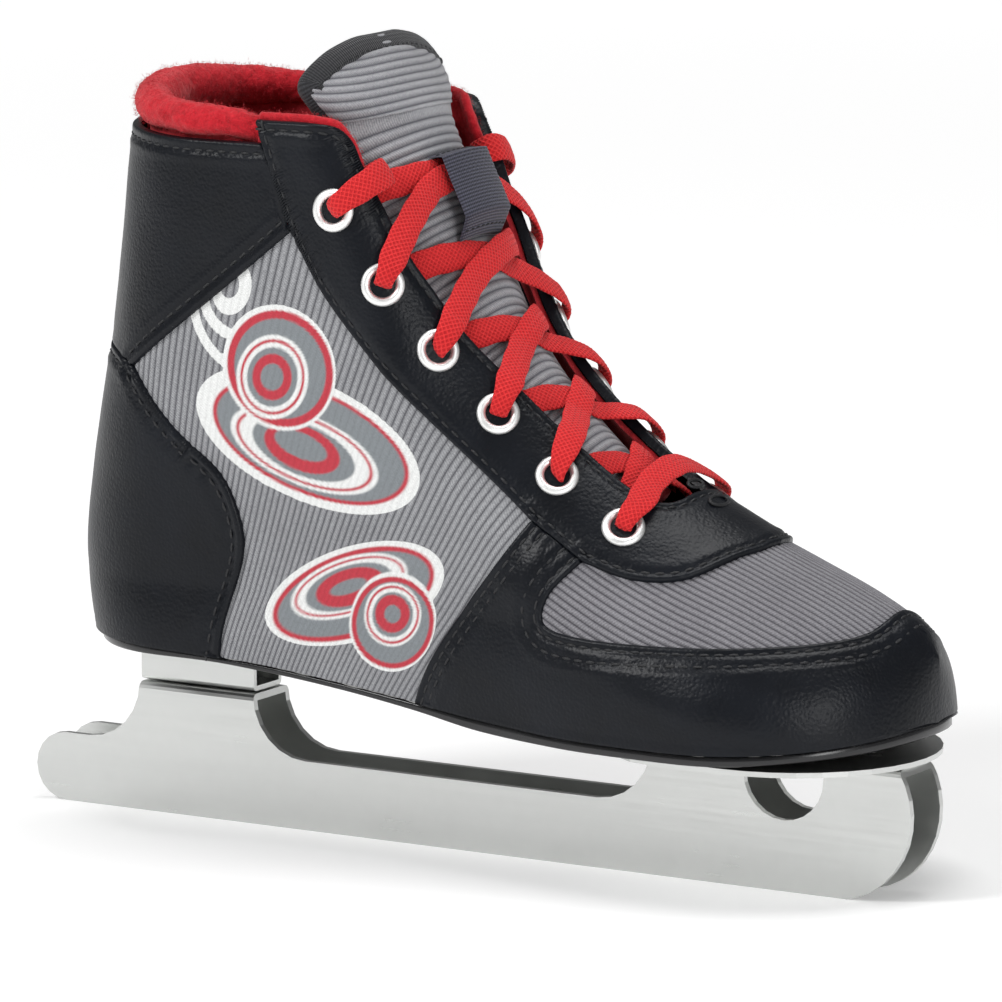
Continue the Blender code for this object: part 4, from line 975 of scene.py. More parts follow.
leather_panel("toe_cap", [
    Edge(FRONT, "over", (2.0, 4.2)), Edge(REAR_LOW), Edge(TOE_CAP, "over", (1.9, 5.2)),
    Edge(straight((TOE_CAP[-1, 0], 0), (0, 0)), "weld"), Edge(straight((0, 0), (0, 1)), "weld"),
    Edge(straight((0, 1), (front_v, 1)), "sole"),
], 3.0)

leather_panel("eyestay", [
    Edge(REAR_HIGH, "over", (1.8,)), Edge(REAR_MID, "over", (1.8,)), Edge(REAR_LOW, "over", (1.8,)),
    Edge(REAR_TOE, "over", (1.8,)), Edge(straight((REAR_TOE[-1, 0], 0), (FLAP_EDGE[0, 0], 0)), "weld"),
    Edge(FLAP_EDGE, "over", (1.9,)),
], 4.0, top=1.45, puff=0.2)


# ---------------------------------------------------------------- ribbed knit

def rib(across, pitch, depth):
    """Height of the knit's ribs across them."""
    return depth * (0.5 + 0.5 * np.sin(2 * np.pi * across / pitch))**0.4


def side_polygon(*lines):
    """Seams end to end as one side-view outline."""
    return np.vstack([through(line, 40) for line in lines])


def sheet_on_boot(v, t, weave, keep, height):
    """A grid of places on both sides of the boot; keep says which points belong to it."""
    chosen, quads = np.unique(kept_quads(keep), return_inverse=True)
    quads = quads.reshape(-1, 4)
    v, t, height = v.ravel()[chosen], t.ravel()[chosen], height.ravel()[chosen]
    weave = weave.reshape(-1, 2)[chosen]
    near = skin(v, -t, height)[0]
    far = skin(v, t, height)[0]
    return near, far, quads, weave


def knit_object(name, points, quads, weave, mat):
    """A piece of knit that knows how its ribs run."""
    obj = mesh_object(name, points, quads.tolist(), mat)
    set_weave(obj, weave)
    return obj


RIB_CENTRE = (-92.7, -88.0)      # the quarter's ribs fan out from this side-view point
RIB_RADIUS = 185.0               # where their pitch is measured
TUCK = 2.8                       # how far the knit runs on under the leather
VAMP_HALF_WIDTH = 58


def build_quarters():
    outline = side_polygon(HEEL_SEAM, ANKLE_SEAM, FLAP_REAR_MID, FRONT_SEAM[::-1])
    from_centre = outline - RIB_CENTRE
    turn = RIB_RADIUS * np.arctan2(from_centre[:, 0], from_centre[:, 1])
    reach = np.hypot(from_centre[:, 0], from_centre[:, 1])
    across = np.arange(turn.min() - 4, turn.max() + 4, QUARTER_PITCH / 6)
    along = np.arange(reach.min() - 4, reach.max() + 4, 0.45)
    across, along = np.meshgrid(across, along, indexing="ij")
    x = RIB_CENTRE[0] + along * np.sin(across / RIB_RADIUS)
    z = RIB_CENTRE[1] + along * np.cos(across / RIB_RADIUS)
    flat = np.stack([x.ravel(), z.ravel()], 1)
    v, share = locate(flat)
    near_edge = np.zeros(len(flat), bool)
    for shift in ((TUCK, 0), (-TUCK, 0), (0, TUCK), (0, -TUCK), (2, 2), (-2, -2), (2, -2), (-2, 2)):
        near_edge |= inside(outline, flat + shift)
    keep = (inside(outline, flat) | near_edge) & (share > -0.02)
    shape = across.shape
    cover = ring_ink(x.ravel(), z.ravel())[1].reshape(shape)
    height = rib(across, QUARTER_PITCH, 0.24) * (1 - 0.6 * cover) - 0.05
    near, far, quads, weave = sheet_on_boot(
        v.reshape(shape), t_of(share).reshape(shape), np.stack([across, along], -1),
        keep.reshape(shape), height)
    for word, points, faces in (("outer", near, quads), ("inner", far, quads[:, ::-1])):
        obj = knit_object("quarter_knit_" + word, points, faces, weave, QUARTER_KNIT)
        set_ink(obj, *ring_ink(points[:, 0], points[:, 2]))
        stand_in(obj, "quarter_" + word, slot="grey_ribbed_knit")


def build_vamp():
    """Ribs along the foot over the toes, from one side of the toe cap to the other."""
    v = np.linspace(0.012, 0.45, 76)
    across = np.arange(-VAMP_HALF_WIDTH, VAMP_HALF_WIDTH, QUARTER_PITCH / 6)
    t_steps = np.linspace(0, 1, 90)
    t = np.empty((len(v), len(across)))
    for row, station in enumerate(v):
        reach = reach_of(skin(np.full(len(t_steps), station), t_steps)[0])
        t[row] = np.sign(across) * np.interp(np.abs(across), reach, t_steps)
    along = reach_of(skin(v, np.zeros(len(v)))[0])
    v_grid = np.repeat(v[:, None], len(across), axis=1)
    outline = np.vstack([TOE_CAP, [(TOE_CAP[-1, 0], -0.3), (REAR_TOE[-1, 0], -0.3)], REAR_TOE[::-1]])
    places = np.stack([v_grid.ravel(), np.abs(t).ravel()], 1)
    near_edge = np.minimum(distance_to(TOE_CAP, places), distance_to(REAR_TOE, places))
    keep = inside(outline, places) | (near_edge < TUCK)
    weave = np.stack([np.broadcast_to(across, t.shape), np.broadcast_to(along[:, None], t.shape)], -1)
    height = np.broadcast_to(rib(across, QUARTER_PITCH, 0.22) - 0.05, t.shape)
    _, far, quads, weave = sheet_on_boot(v_grid, t, weave, keep.reshape(t.shape), height)
    stand_in(knit_object("vamp_knit", far, quads, weave, VAMP_KNIT), "vamp", slot="grey_ribbed_knit")


# ---------------------------------------------------------------- tongue

def tongue_height(v, y):
    """Height of the tongue's outer face over the last: it arches between the flaps."""
    crown = table([(0.4, -5.4), (0.5, -4.6), (0.62, -3.6), (0.8, -2.6), (1.0, -2.2), (3.0, -2.0)], v)
    drop = table([(0.4, 0.4), (0.62, 2.2), (0.8, 3.2), (1.0, 5.6), (1.3, 7.2), (1.9, 6.2),
                  (1.98, 4.6), (2.07, 1.4), (2.15, 0.9), (3.0, 0.9)], v)
    return crown - drop * (np.abs(y) / 26.0)**2.2


def across_to_t(v, y):
    """t on sections v where the last is y wide from its middle."""
    v, y = np.broadcast_arrays(np.asarray(v, float), np.asarray(y, float))
    low, high = np.zeros(v.shape), np.full(v.shape, 0.9)
    for _ in range(30):
        t = 0.5 * (low + high)
        narrow = last_point(v, rise(t))[1] < np.abs(y)
        low, high = np.where(narrow, t, low), np.where(narrow, high, t)
    return np.copysign(t, y)


def tongue_place(v, share, depth=0.0):
    """Point and normal of the tongue at sections v, share -1 to 1 across, depth under its face."""
    y = share * table(TONGUE_WIDTHS, v)
    return skin(v, across_to_t(v, y), tongue_height(v, y) - depth)


def build_tongue():
    """The padded tongue: ribbed knit outside, fleece inside, bound along its top."""
    v_fine = np.linspace(0.43, 2.249, 2400)
    reach = reach_of(skin(v_fine, np.zeros(len(v_fine)))[0])
    steps = np.arange(0, reach[-1], TONGUE_PITCH / 6)
    v = np.interp(steps, reach, v_fine)
    shares = np.sin(np.linspace(-1, 1, 41) * np.pi / 2)
    v_grid, share_grid = np.meshgrid(v, shares, indexing="ij")
    y = share_grid * table(TONGUE_WIDTHS, v_grid)
    t = across_to_t(v_grid, y)
    ribs = rib(steps[:, None], TONGUE_PITCH, 0.34) - 0.1
    edge = np.clip((1 - np.abs(share_grid)) * 14, 0, 1)
    rounded = 1.6 * (1 - np.sqrt(1 - (1 - edge)**2))
    outer = tongue_height(v_grid, y) + ribs * edge - rounded
    loft = 0.35 * np.cos(share_grid * 5.0) * edge
    inner = tongue_height(v_grid, y) - TONGUE_THICKNESS + rounded
    top = skin(v_grid, t, outer + loft)[0].reshape(-1, 3)
    low = skin(v_grid, t, inner)[0].reshape(-1, 3)
    face, lining, wall = closed_sheet(*v_grid.shape)
    obj = mesh_object("tongue_pad", np.vstack([top, low]), face + lining + wall,
                      [TONGUE_KNIT, LINING_FLEECE])
    kinds = [0] * len(face) + [1] * (len(lining) + len(wall))
    obj.data.polygons.foreach_set("material_index", kinds)
    weave = np.stack([np.broadcast_to(steps[:, None], v_grid.shape), y], -1).reshape(-1, 2)
    set_weave(obj, np.vstack([weave, weave]))
    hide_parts("tongue", "tongue_top")
    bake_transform(obj)


def rim_of_tongue(spacing=0.8):
    """Line round the tongue's free top, from one side's edge over its tip to the other's."""
    v = np.r_[np.linspace(1.62, 2.19, 60), 2.2, 2.21, 2.22, 2.23, 2.24, 2.249]
    side = np.stack([v, np.ones(len(v))], 1)
    tip = np.stack([np.full(9, 2.249), np.linspace(1, -1, 11)[1:-1]], 1)
    line = np.vstack([side, tip, side[::-1] * (1, -1)])
    points, normals = tongue_place(line[:, 0], line[:, 1], 2.0)
    reach = reach_of(points)
    at = np.arange(0, reach[-1], spacing)
    points, normals = read_along(points, reach, at), read_along(normals, reach, at)
    for _ in range(6):
        points[1:-1] = 0.25 * points[:-2] + 0.5 * points[1:-1] + 0.25 * points[2:]
    return points, normals / np.linalg.norm(normals, axis=1, keepdims=True), at


def build_binding():
    """Woven tape folded over the tongue's top edge, with its stitches."""
    points, normals, reach = rim_of_tongue()
    total = reach[-1]
    # widest over the tip, running out down the sides
    fade = np.clip(np.minimum(reach, total - reach) / 9.0, 0.25, 1)
    sides = 20
    section = ellipse(3.0, 2.6, sides, 0.62)
    tangent, side, up = frames_along(points, normals)
    centre = points.mean(axis=0)
    inward = side * np.sign(np.sum(side * (centre - points), axis=1, keepdims=True))
    line = points + inward * 1.9
    obj = swept("tongue_binding", line, normals, section, BINDING, scale=fade)
    ring = np.arange(sides) / sides * 15.6       # millimetres round the tape
    weave = np.stack([np.tile(ring, len(line)), np.repeat(reach, sides)], 1)
    set_weave(obj, weave)
    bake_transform(obj)
    keep = slice(12, -12, 3)
    at = (line + inward * 1.9 + up * 2.35)[keep]
    points, faces = capsule_mesh(at, tangent[keep], up[keep], 1.7, 0.25)
    seamed = mesh_object("tongue_binding_stitches", points, faces, THREAD)
    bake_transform(seamed)


# ---------------------------------------------------------------- lace and loop

LACE_FLAT, LACE_IN_HOLE = 6.6, 4.3
LACE_THICKNESS = 1.25
FLAP_CLEARANCE = 1.9              # the lace is under the far flap this long before its edge


def flap_edge_t(v):
    """t of the flap's edge at section v."""
    order = np.argsort(FLAP_EDGE[:, 0])
    line = FLAP_EDGE[order]
    line = line[(line[:, 0] > 0.36) & (line[:, 0] < 1.35)]
    return float(np.interp(v, line[:, 0], line[:, 1]))


def crown_section(z):
    """Section whose top lies at height z on the front ridge."""
    v = np.linspace(0.3, 2.2, 400)
    return float(np.interp(z, section_ends(v)[1][:, 1], v))


EYELET_PLACES = np.stack(locate(EYELETS), 1)
EYELET_PLACES[:, 1] = t_of(EYELET_PLACES[:, 1])


def lace_half(side):
    """Route (v, t, height, width) of one half of the lace, from the bottom bar to its tucked end."""
    hole, flat = LACE_IN_HOLE, LACE_FLAT
    route = []
    for k in range(5, -1, -1):
        v, t = EYELET_PLACES[k] * (1, side)
        step = abs(t / skin(v, t)[0][1])             # t for each millimetre towards the ridge
        v_next, t_next = EYELET_PLACES[k - 1] * (1, -side) if k else (v + 0.01, -t)
        across = abs(t_next - t) / step              # millimetres from this eyelet to the next one

        def on_way(distance, height, width):
            share = distance / across
            return (v + share * (v_next - v), t + share * (t_next - t), height, width)

        if k == 5:
            route += [(v, t - side * 5.2 * step, 3.7, flat), (v, t - side * 2.2 * step, 3.9, hole + 1),
                      (v, t - side * 0.3 * step, 2.7, hole), (v, t, 1.0, hole), (v, t, -1.2, hole),
                      (v, t - side * 1.0 * step, -3.2, hole)]
        else:
            route += [(v - 0.004, t - side * 1.6 * step, -3.2, hole), (v, t, -1.2, hole), (v, t, 1.0, hole),
                      on_way(0.5, 2.6, hole), on_way(2.4, 3.9, hole + 1)]
        if 0 < k < 5:
            route.append(on_way(5.2, 3.7, flat))
        edge = side * flap_edge_t(v)
        if k == 0:
            route += [(v + 0.01, edge + side * 1.2 * step, 3.6, flat),
                      (v + 0.02, edge - side * 3.6 * step, 1.6, flat),
                      (v + 0.02, edge - side * 4.8 * step, -1.4, flat),
                      (v + 0.02, edge - side * 2.0 * step, -4.4, flat),
                      (v + 0.02, edge + side * 5.0 * step, -5.4, hole),
                      (v + 0.01, edge + side * 12.0 * step, -5.8, hole)]
            break
        rest = 3.0 if side < 0 else 1.2              # the outer side's strand lies on top
        own = abs(t - edge) / step
        own_next = abs(t_next + side * flap_edge_t(v_next)) / step
        other = across - own_next - FLAP_CLEARANCE
        route.append(on_way(own + 0.3, -3.3 if k == 5 else 2.8, flat))
        for share in (0.3, 0.5, 0.7):
            at, t_at = on_way(own + share * (other - own), 0, 0)[:2]
            route.append((at, t_at, float(tongue_height(at, t_at / step)) + rest, flat))
        route.append(on_way(other, -2.9, flat))
        side = -side
    return route


def lace_line(spacing=0.45):
    """Points, normals, widths and reach of the lace from end to end."""
    outer, inner = lace_half(-1), lace_half(1)
    v = EYELET_PLACES[5, 0]
    bar = [(v + 0.01, -0.12, 2.8, LACE_FLAT), (v + 0.012, 0.0, 2.7, LACE_FLAT),
           (v + 0.01, 0.12, 2.8, LACE_FLAT)]
    route = np.array(outer[::-1] + bar + inner)
    places = skin(route[:, 0], route[:, 1], route[:, 2])[0]
    knots = np.r_[0, np.cumsum(np.linalg.norm(np.diff(places, axis=0), axis=1)**0.6)]
    fine = smooth_curve(knots, route, np.linspace(0, knots[-1], 6000))
    points, normals = skin(fine[:, 0], fine[:, 1], fine[:, 2])
    reach = reach_of(points)
    at = np.arange(0, reach[-1], spacing)
    columns = read_along(np.hstack([points, normals, fine[:, 3:]]), reach, at)
    return columns[:, :3], columns[:, 3:6], columns[:, 6], at


def build_lace():
    """The lace as a soft flat band with rounded edges and its braid in relief."""
    points, normals, widths, at = lace_line()
    count = 22
    angle = np.linspace(0, 2 * np.pi, count, endpoint=False)
    c, s = np.cos(angle), np.sin(angle)
    across = np.sign(c) * np.abs(c)**0.55
    thick = np.sign(s) * np.abs(s)**0.75
    widths = widths * (1 + 0.03 * np.sin(at * 0.9))
    side = across[None] * widths[:, None] / 2
    braid = 0.5 + 0.5 * np.sin(2 * np.pi * (at[:, None] + 0.9 * np.abs(side)) / LACE_BRAID)
    puffed = LACE_THICKNESS / 2 * (1 + 0.15 * np.cos(across * np.pi))
    puffed = puffed * (LACE_FLAT / np.maximum(widths, 1))[:, None]**0.35
    up = thick[None] * puffed + 0.16 * np.sign(thick)[None] * (braid - 0.5) * np.abs(thick)[None]
    obj = swept("lace_braid", points, normals, np.stack([side, up], -1), LACE)
    set_weave(obj, np.stack([side.ravel(), np.repeat(at, count)], 1))
    stand_in(obj, "lace", slot="red_lace")


LOOP_Z = (143.5, 162.0)          # heights of the loop's two sewn ends on the front ridge
LOOP_WIDTH = 18.5
LOOP_RISE = 4.6


def build_loop():
    """The webbing keeper on the tongue, sewn down at its two ends, and its stitches."""
    rows, columns = 70, 40
    share = np.linspace(0, 1, rows)
    v = np.linspace(crown_section(LOOP_Z[0]), crown_section(LOOP_Z[1]), rows)
    arch = 1.1 + LOOP_RISE * np.clip(np.sin(np.pi * share) * 2.6, 0, 1)
    y = np.linspace(-LOOP_WIDTH / 2, LOOP_WIDTH / 2, columns)
    v_grid, y_grid = np.meshgrid(v, y, indexing="ij")
    t = across_to_t(v_grid, y_grid)
    base = tongue_height(v_grid, y_grid) + arch[:, None]
    half = 0.75 * np.sqrt(1 - np.clip(np.abs(y_grid) / (LOOP_WIDTH / 2), 0, 0.999)**10)
    along = reach_of(skin(v, np.zeros(rows), base[:, columns // 2])[0])
    basket = np.sin(2 * np.pi * along[:, None] / 1.5) * np.sin(2 * np.pi * y_grid / 1.7)
    outer, normals = skin(v_grid, t, base + half + 0.09 * basket)
    inner = skin(v_grid, t, base - half)[0]
    upper, lower, wall = closed_sheet(rows, columns)
    points = np.vstack([outer.reshape(-1, 3), inner.reshape(-1, 3)])
    obj = mesh_object("loop_webbing", points, upper + lower + wall, TAPE)
    face_out(obj, 1e-5)
    weave = np.stack([y_grid, np.broadcast_to(along[:, None], y_grid.shape)], -1).reshape(-1, 2)
    set_weave(obj, np.vstack([weave, weave]))
    stand_in(obj, "tongue_loop", slot="navy_webbing")
    centres, up = [], []
    for row in (3, rows - 4):
        centres += list(outer[row, 3:-3:4] + normals[row, 3:-3:4] * 0.05)
        up += list(normals[row, 3:-3:4])
    ahead = np.tile([0.0, 1.0, 0.0], (len(centres), 1))
    tacks, faces = capsule_mesh(np.array(centres), ahead, np.array(up), 1.6, 0.26)
    stand_in(mesh_object("loop_stitches", tacks, faces, THREAD), slot="navy_webbing")


# ---------------------------------------------------------------- eyelets

RING_SIDES = 40


def turned_points(profile, centre, normal):
    """A profile (radius, height) turned round a normal."""
    turn = Vector(normal).to_track_quat("Z", "Y").to_matrix()
    across, along, up = (np.array(turn.col[i]) for i in range(3))
    angle = np.linspace(0, 2 * np.pi, RING_SIDES, endpoint=False)
    radial = np.cos(angle)[:, None] * across + np.sin(angle)[:, None] * along
    return np.vstack([centre + r * radial + h * up for r, h in profile])


def build_eyelets():
    """Rolled rings set into the leather."""
    turn = np.linspace(0, np.pi, 13)
    face = [(3.95 + 1.05 * math.cos(a), 1.45 + 1.0 * math.sin(a)) for a in turn]
    profile = face + [(2.75, 0.6), (2.7, -1.6), (3.0, -1.6), (3.1, 0.4), (4.9, 1.1)]
    faces = grid_faces(len(profile), RING_SIDES, 0, True)
    last = (len(profile) - 1) * RING_SIDES
    for i in range(RING_SIDES):
        after = (i + 1) % RING_SIDES
        faces.append([last + i, last + after, after, i])
    for k, (v, t) in enumerate(EYELET_PLACES):
        for word, side in (("outer", -1), ("inner", 1)):
            centre, normal = skin(v, side * t)
            points = turned_points(profile, centre, normal)
            obj = mesh_object(f"eyelet_ring_{word}_{k + 1}", points, faces, EYELET)
            face_out(obj, 1e-5)
            stand_in(obj, f"eyelet_{word}_{k + 1}", slot="eyelet_metal")


# ---------------------------------------------------------------- collar and lining

def build_collar():
    """The padded roll round the top of the shaft with its pile."""
    stations = [(-22.5, 160.6, 4.9, 2.7), (-31.0, 164.6, 4.9, 2.8), (-39.5, 166.8, 4.9, 2.9),
                (-47.0, 168.9, 3.2, 3.2), (-58.0, 169.2, 2.8, 3.5), (-70.0, 169.9, 3.2, 3.9),
                (-78.0, 170.6, 3.8, 4.5), (-82.5, 171.0, 4.3, 4.9)]
    v, share = locate([s[:2] for s in stations])
    depths, radii = np.array([s[2:] for s in stations]).T
    near = skin(v, -t_of(share), -depths)[0]
    back = skin(1.93, -1.0, -4.6)[0]
    near = np.vstack([np.column_stack([near, radii]), [(back[0], 0.0, 171.2, 5.1)]])
    count = 260
    line = through(np.vstack([near, near[::-1][1:] * (1, -1, 1, 1)]), count)
    centres, radii = line[:, :3], line[:, 3]
    up = np.tile([0.0, 0.0, 1.0], (count, 1))
    swell = 1.0 + 0.035 * np.sin(np.linspace(0, 60, count))
    from_end = np.minimum(np.arange(count), np.arange(count)[::-1])
    ends = np.clip(from_end / 5.0, 0.3, 1)**0.5
    obj = swept("collar_pad", centres, up, ellipse(1.0, 1.0, 40), FLEECE, scale=radii * swell * ends * 1.02)
    points, normals = roughen(obj, (0.28, 2.2, 3.0), (0.22, 0.9, 9.0))
    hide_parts("collar_roll")
    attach(obj, ROOT)
    stand_in(pile("collar_pile", points, normals, 9000, 1), slot="red_fleece")


def pile(name, points, normals, count, seed, length=0.9, radius=0.045):
    """Short bent fibres standing on a surface."""
    rng = np.random.default_rng(seed)
    chosen = rng.integers(0, len(points), count)
    start = points[chosen] + rng.normal(0, 0.35, (count, 3))
    lean = rng.normal(0, 0.75, (count, 3))
    ahead = normals[chosen] + lean
    ahead /= np.linalg.norm(ahead, axis=1, keepdims=True)
    bend = ahead + rng.normal(0, 0.6, (count, 3))
    bend /= np.linalg.norm(bend, axis=1, keepdims=True)
    reach = length * rng.uniform(0.5, 1.1, (count, 1))
    middle = start + ahead * reach * 0.5
    tip = middle + bend * reach * 0.5
    side = np.cross(ahead, rng.normal(0, 1, (count, 3)))
    side /= np.linalg.norm(side, axis=1, keepdims=True)
    other = np.cross(ahead, side)
    rings = []
    for centre, wide in ((start, 1.0), (middle, 0.9)):
        for a in (0.0, 2.1, 4.2):
            rings.append(centre + (side * math.cos(a) + other * math.sin(a)) * radius * wide)
    points = np.stack(rings + [tip], 1).reshape(-1, 3)
    one = np.array([[0, 1, 4, 3], [1, 2, 5, 4], [2, 0, 3, 5], [3, 4, 6, 6], [4, 5, 6, 6], [5, 3, 6, 6]])
    faces = (np.arange(count)[:, None, None] * 7 + one[None]).reshape(-1, 4).tolist()
    faces = [face if face[2] != face[3] else face[:3] for face in faces]
    return mesh_object(name, points, faces, FLEECE)


def build_lining():
    """The fleece inside the shaft and the foot, both faces, with the strip inside the flaps' edges."""
    front = [(60.0, 41.5), (60, 68), (44, 73), (31, 81), (10, 97), (-8, 113.5), (-24, 129), (-34, 144),
             (-40.5, 158), (-43.5, 166.8)]
    rim = [(-43.5, 166.8), (-60, 168.4), (-112, 170.5)]
    front_line, rim_line = seam(front), seam(rim)
    v = np.r_[np.linspace(0.30, 1.0, 120), np.linspace(1.0, 1.96, 70)[1:]]
    t = np.linspace(-1, 1, 121)
    v_grid, t_grid = np.meshgrid(v, t, indexing="ij")
    behind = [(rim_line[-1, 0], 1.2), (0.30, 1.2), (0.30, front_line[0, 1])]
    outline = np.vstack([front_line, rim_line[1:], behind])
    places = np.stack([v_grid.ravel(), np.abs(t_grid).ravel() * 0.999], 1)
    keep = inside(outline, places).reshape(v_grid.shape)
    base = skin(v_grid.ravel(), t_grid.ravel())[0]
    rough = (0.18 * lumps(base, 2.5, 4.0) + 0.12 * lumps(base, 1.0, 6.0)).reshape(v_grid.shape)
    points, faces = [], []
    for height, flip in ((-3.1, 1), (-4.4, -1)):
        start = len(points) * v_grid.size
        points.append(skin(v_grid, t_grid, height + rough)[0].reshape(-1, 3))
        faces += (start + kept_quads(keep))[:, ::flip].tolist()
    obj = mesh_object("lining_fleece", np.vstack(points), faces, LINING_FLEECE)
    work = bmesh.new()
    work.from_mesh(obj.data)
    loose = [vertex for vertex in work.verts if not vertex.link_faces]
    bmesh.ops.delete(work, geom=loose, context="VERTS")
    work.to_mesh(obj.data)
    work.free()
    stand_in(obj, "lining", slot="red_fleece")


def flap_lining():
    """Fleece on the inner face of the flaps, and its padded roll along their top and front edge."""
    edge = FLAP_EDGE[(FLAP_EDGE[:, 0] > 0.45) & (FLAP_EDGE[:, 0] < 2.1)]
    sign = 1 if shifted(edge, 1.0)[60, 1] > edge[60, 1] else -1
    rows = np.stack([shifted(edge, sign * distance) for distance in np.linspace(0.7, 13.0, 16)])
    v, t = rows[:, :, 0], rows[:, :, 1]
    upper = edge[edge[:, 0] > 1.12]
    line = shifted(resample(upper, 0.6), -0.1 * sign)
    for side, word in ((-1, "outer"), (1, "inner")):
        points = []
        for height in (-1.3, -2.5):
            base = skin(v, side * t)[0]
            rough = 0.10 * lumps(base.reshape(-1, 3), 2.0, 5.0).reshape(v.shape)
            points.append(skin(v, side * t, height + rough)[0].reshape(-1, 3))
        count = v.size
        upper, lower, _ = closed_sheet(*v.shape)
        faces = upper + lower + [[k, k + 1, count + k + 1, count + k] for k in range(v.shape[1] - 1)]
        obj = mesh_object(f"flap_lining_{word}", np.vstack(points), faces, LINING_FLEECE)
        stand_in(obj, slot="red_fleece")
        centres, normals = skin(line[:, 0], side * line[:, 1], -2.2)
        fade = np.clip(np.arange(len(line)) / 14.0, 0.3, 1)
        section = ellipse(1.55, 1.25, 16)
        obj = swept(f"flap_roll_{word}", centres, normals, section, FLEECE, scale=fade)
        points, outward = roughen(obj, (0.14, 1.6, 8.0))
        stand_in(obj, slot="red_fleece")
        stand_in(pile(f"flap_pile_{word}", points, outward, 1500, 4 + side, 0.6), slot="red_fleece")


# ---------------------------------------------------------------- sole and metal

def sole_half_width(x):
    """Half the width of the sole at x, round at the heel and at the toe."""
    heel, toe = rounding((x - HEEL_X) / HEEL_ROUNDING, 2.0), rounding((TOE_X - x) / TOE_ROUNDING, 2.1)
    return table(SOLE_HALF_WIDTH, x) * heel * toe


def sole_outline(inset, count=220):
    """x, y round the sole, from the heel along the outer side and back along the inner side."""
    turn = np.linspace(0, np.pi, count // 2)
    x = SOLE_MIDDLE - 0.5 * SOLE_LENGTH * np.cos(turn)
    half = sole_half_width(x) * (1 - inset / MEAN_HALF_WIDTH)
    x = SOLE_MIDDLE + (x - SOLE_MIDDLE) * (1 - 2 * inset / SOLE_LENGTH)
    y = table(TOE_SWING, x)
    return np.vstack([np.stack([x, y - half], 1), np.stack([x, y + half], 1)[::-1][1:-1]])


def seam_height(x):
    """Height of the sole seam at x."""
    low = np.array([s[0] for s in FOOT_STATIONS])[::-1]
    return smooth_curve(low[:, 0], low[:, 1], x)


def build_sole():
    """Glossy moulded sole with rounded edges, and the bead of glue along the seam."""
    # inset, shift up, and whether it hangs from the sole's upper or lower face
    levels = [(2.0, 0.0, "top"), (0.9, 0.0, "top"), (0.25, -0.25, "top"), (0.0, -0.7, "top"),
              (0.0, 0.7, "low"), (0.3, 0.22, "low"), (1.0, 0.0, "low"), (2.6, 0.0, "low")]
    points = []
    for inset, shift, level in levels:
        outline = sole_outline(inset)
        x = outline[:, 0]
        face = seam_height(x) - 0.3 if level == "top" else table(SOLE_BOTTOM, x)
        points.append(np.column_stack([outline, face + shift * 0.7]))
    around = len(points[0])
    faces = grid_faces(len(levels), around, 0, True)
    last = (len(levels) - 1) * around
    half = around // 2
    for base in (0, last):
        for k in range(1, half - 1):
            faces.append([base + k, base + k + 1, base + around - k - 1, base + around - k])
    obj = mesh_object("sole_moulded", np.vstack(points), faces, SOLE)
    face_out(obj, 0.02)
    stand_in(obj, "outsole", slot="black_sole")

    outline = sole_outline(0.12, 700)
    line = np.column_stack([outline, seam_height(outline[:, 0]) - 0.12])
    wobble = np.array([noise.noise(Vector((along * 0.22, 0.0, 4.0))) for along in reach_of(outline)])
    thin = np.clip(0.55 + 0.9 * wobble, 0.12, 1.0)
    line = np.vstack([line, line[:1]])
    thin = np.r_[thin, thin[:1]]
    up = np.tile([0.0, 0.0, 1.0], (len(line), 1))
    bead = swept("glue_bead", line, up, ellipse(0.42, 0.30, 8), GLUE, scale=thin)
    stand_in(bead, slot="black_sole")


def build_footbed():
    """The insole the foot stands on, seen down the shaft."""
    count, across = 160, 41
    x = np.linspace(-90.5, 108.5, count)
    full_x = SOLE_MIDDLE + (x - SOLE_MIDDLE) / (1 - 2 * FOOTBED_INSET / SOLE_LENGTH)
    half = np.maximum(sole_half_width(full_x) * (1 - FOOTBED_INSET / MEAN_HALF_WIDTH), 0.3)
    share = np.linspace(-1, 1, across)
    y = table(TOE_SWING, x)[:, None] + half[:, None] * share[None]
    grid_x = np.repeat(x[:, None], across, axis=1)
    edge = np.clip((1 - np.abs(share)) * 8, 0, 1)[None]
    top = seam_height(x)[:, None] + 5.0 - 0.8 * (1 - edge) + 0.6 * share[None]**2
    low = np.repeat((seam_height(x) + 2.1)[:, None], across, axis=1)
    upper = np.stack([grid_x, y, top], -1).reshape(-1, 3)
    upper[:, 2] += 0.06 * lumps(upper, 1.4, 2.0)
    lower = np.stack([grid_x, y, low], -1).reshape(-1, 3)
    face, under, wall = closed_sheet(count, across)
    obj = mesh_object("footbed_pad", np.vstack([upper, lower]), face + under + wall, FOOTBED)
    face_out(obj, 0.001)
    stand_in(obj, "footbed", slot="black_sole")


def finish_kept_nodes():
    """Better materials on the CAD pieces that are shown as they are."""
    finishes = {
        ALUMINIUM: ("double_runner", "heel_spacer", "front_plate"),
        STEEL: ("heel_rivet_1", "heel_rivet_2", "front_rivet_1", "front_rivet_2"),
        BOARD: ("insole_board", "heel_counter", "toe_puff"),
        LACE_TIP: ("lace_tip_outer", "lace_tip_inner"),
    }
    for mat, names in finishes.items():
        for name in names:
            for holder in bpy.data.objects[name].material_slots:
                holder.material = mat


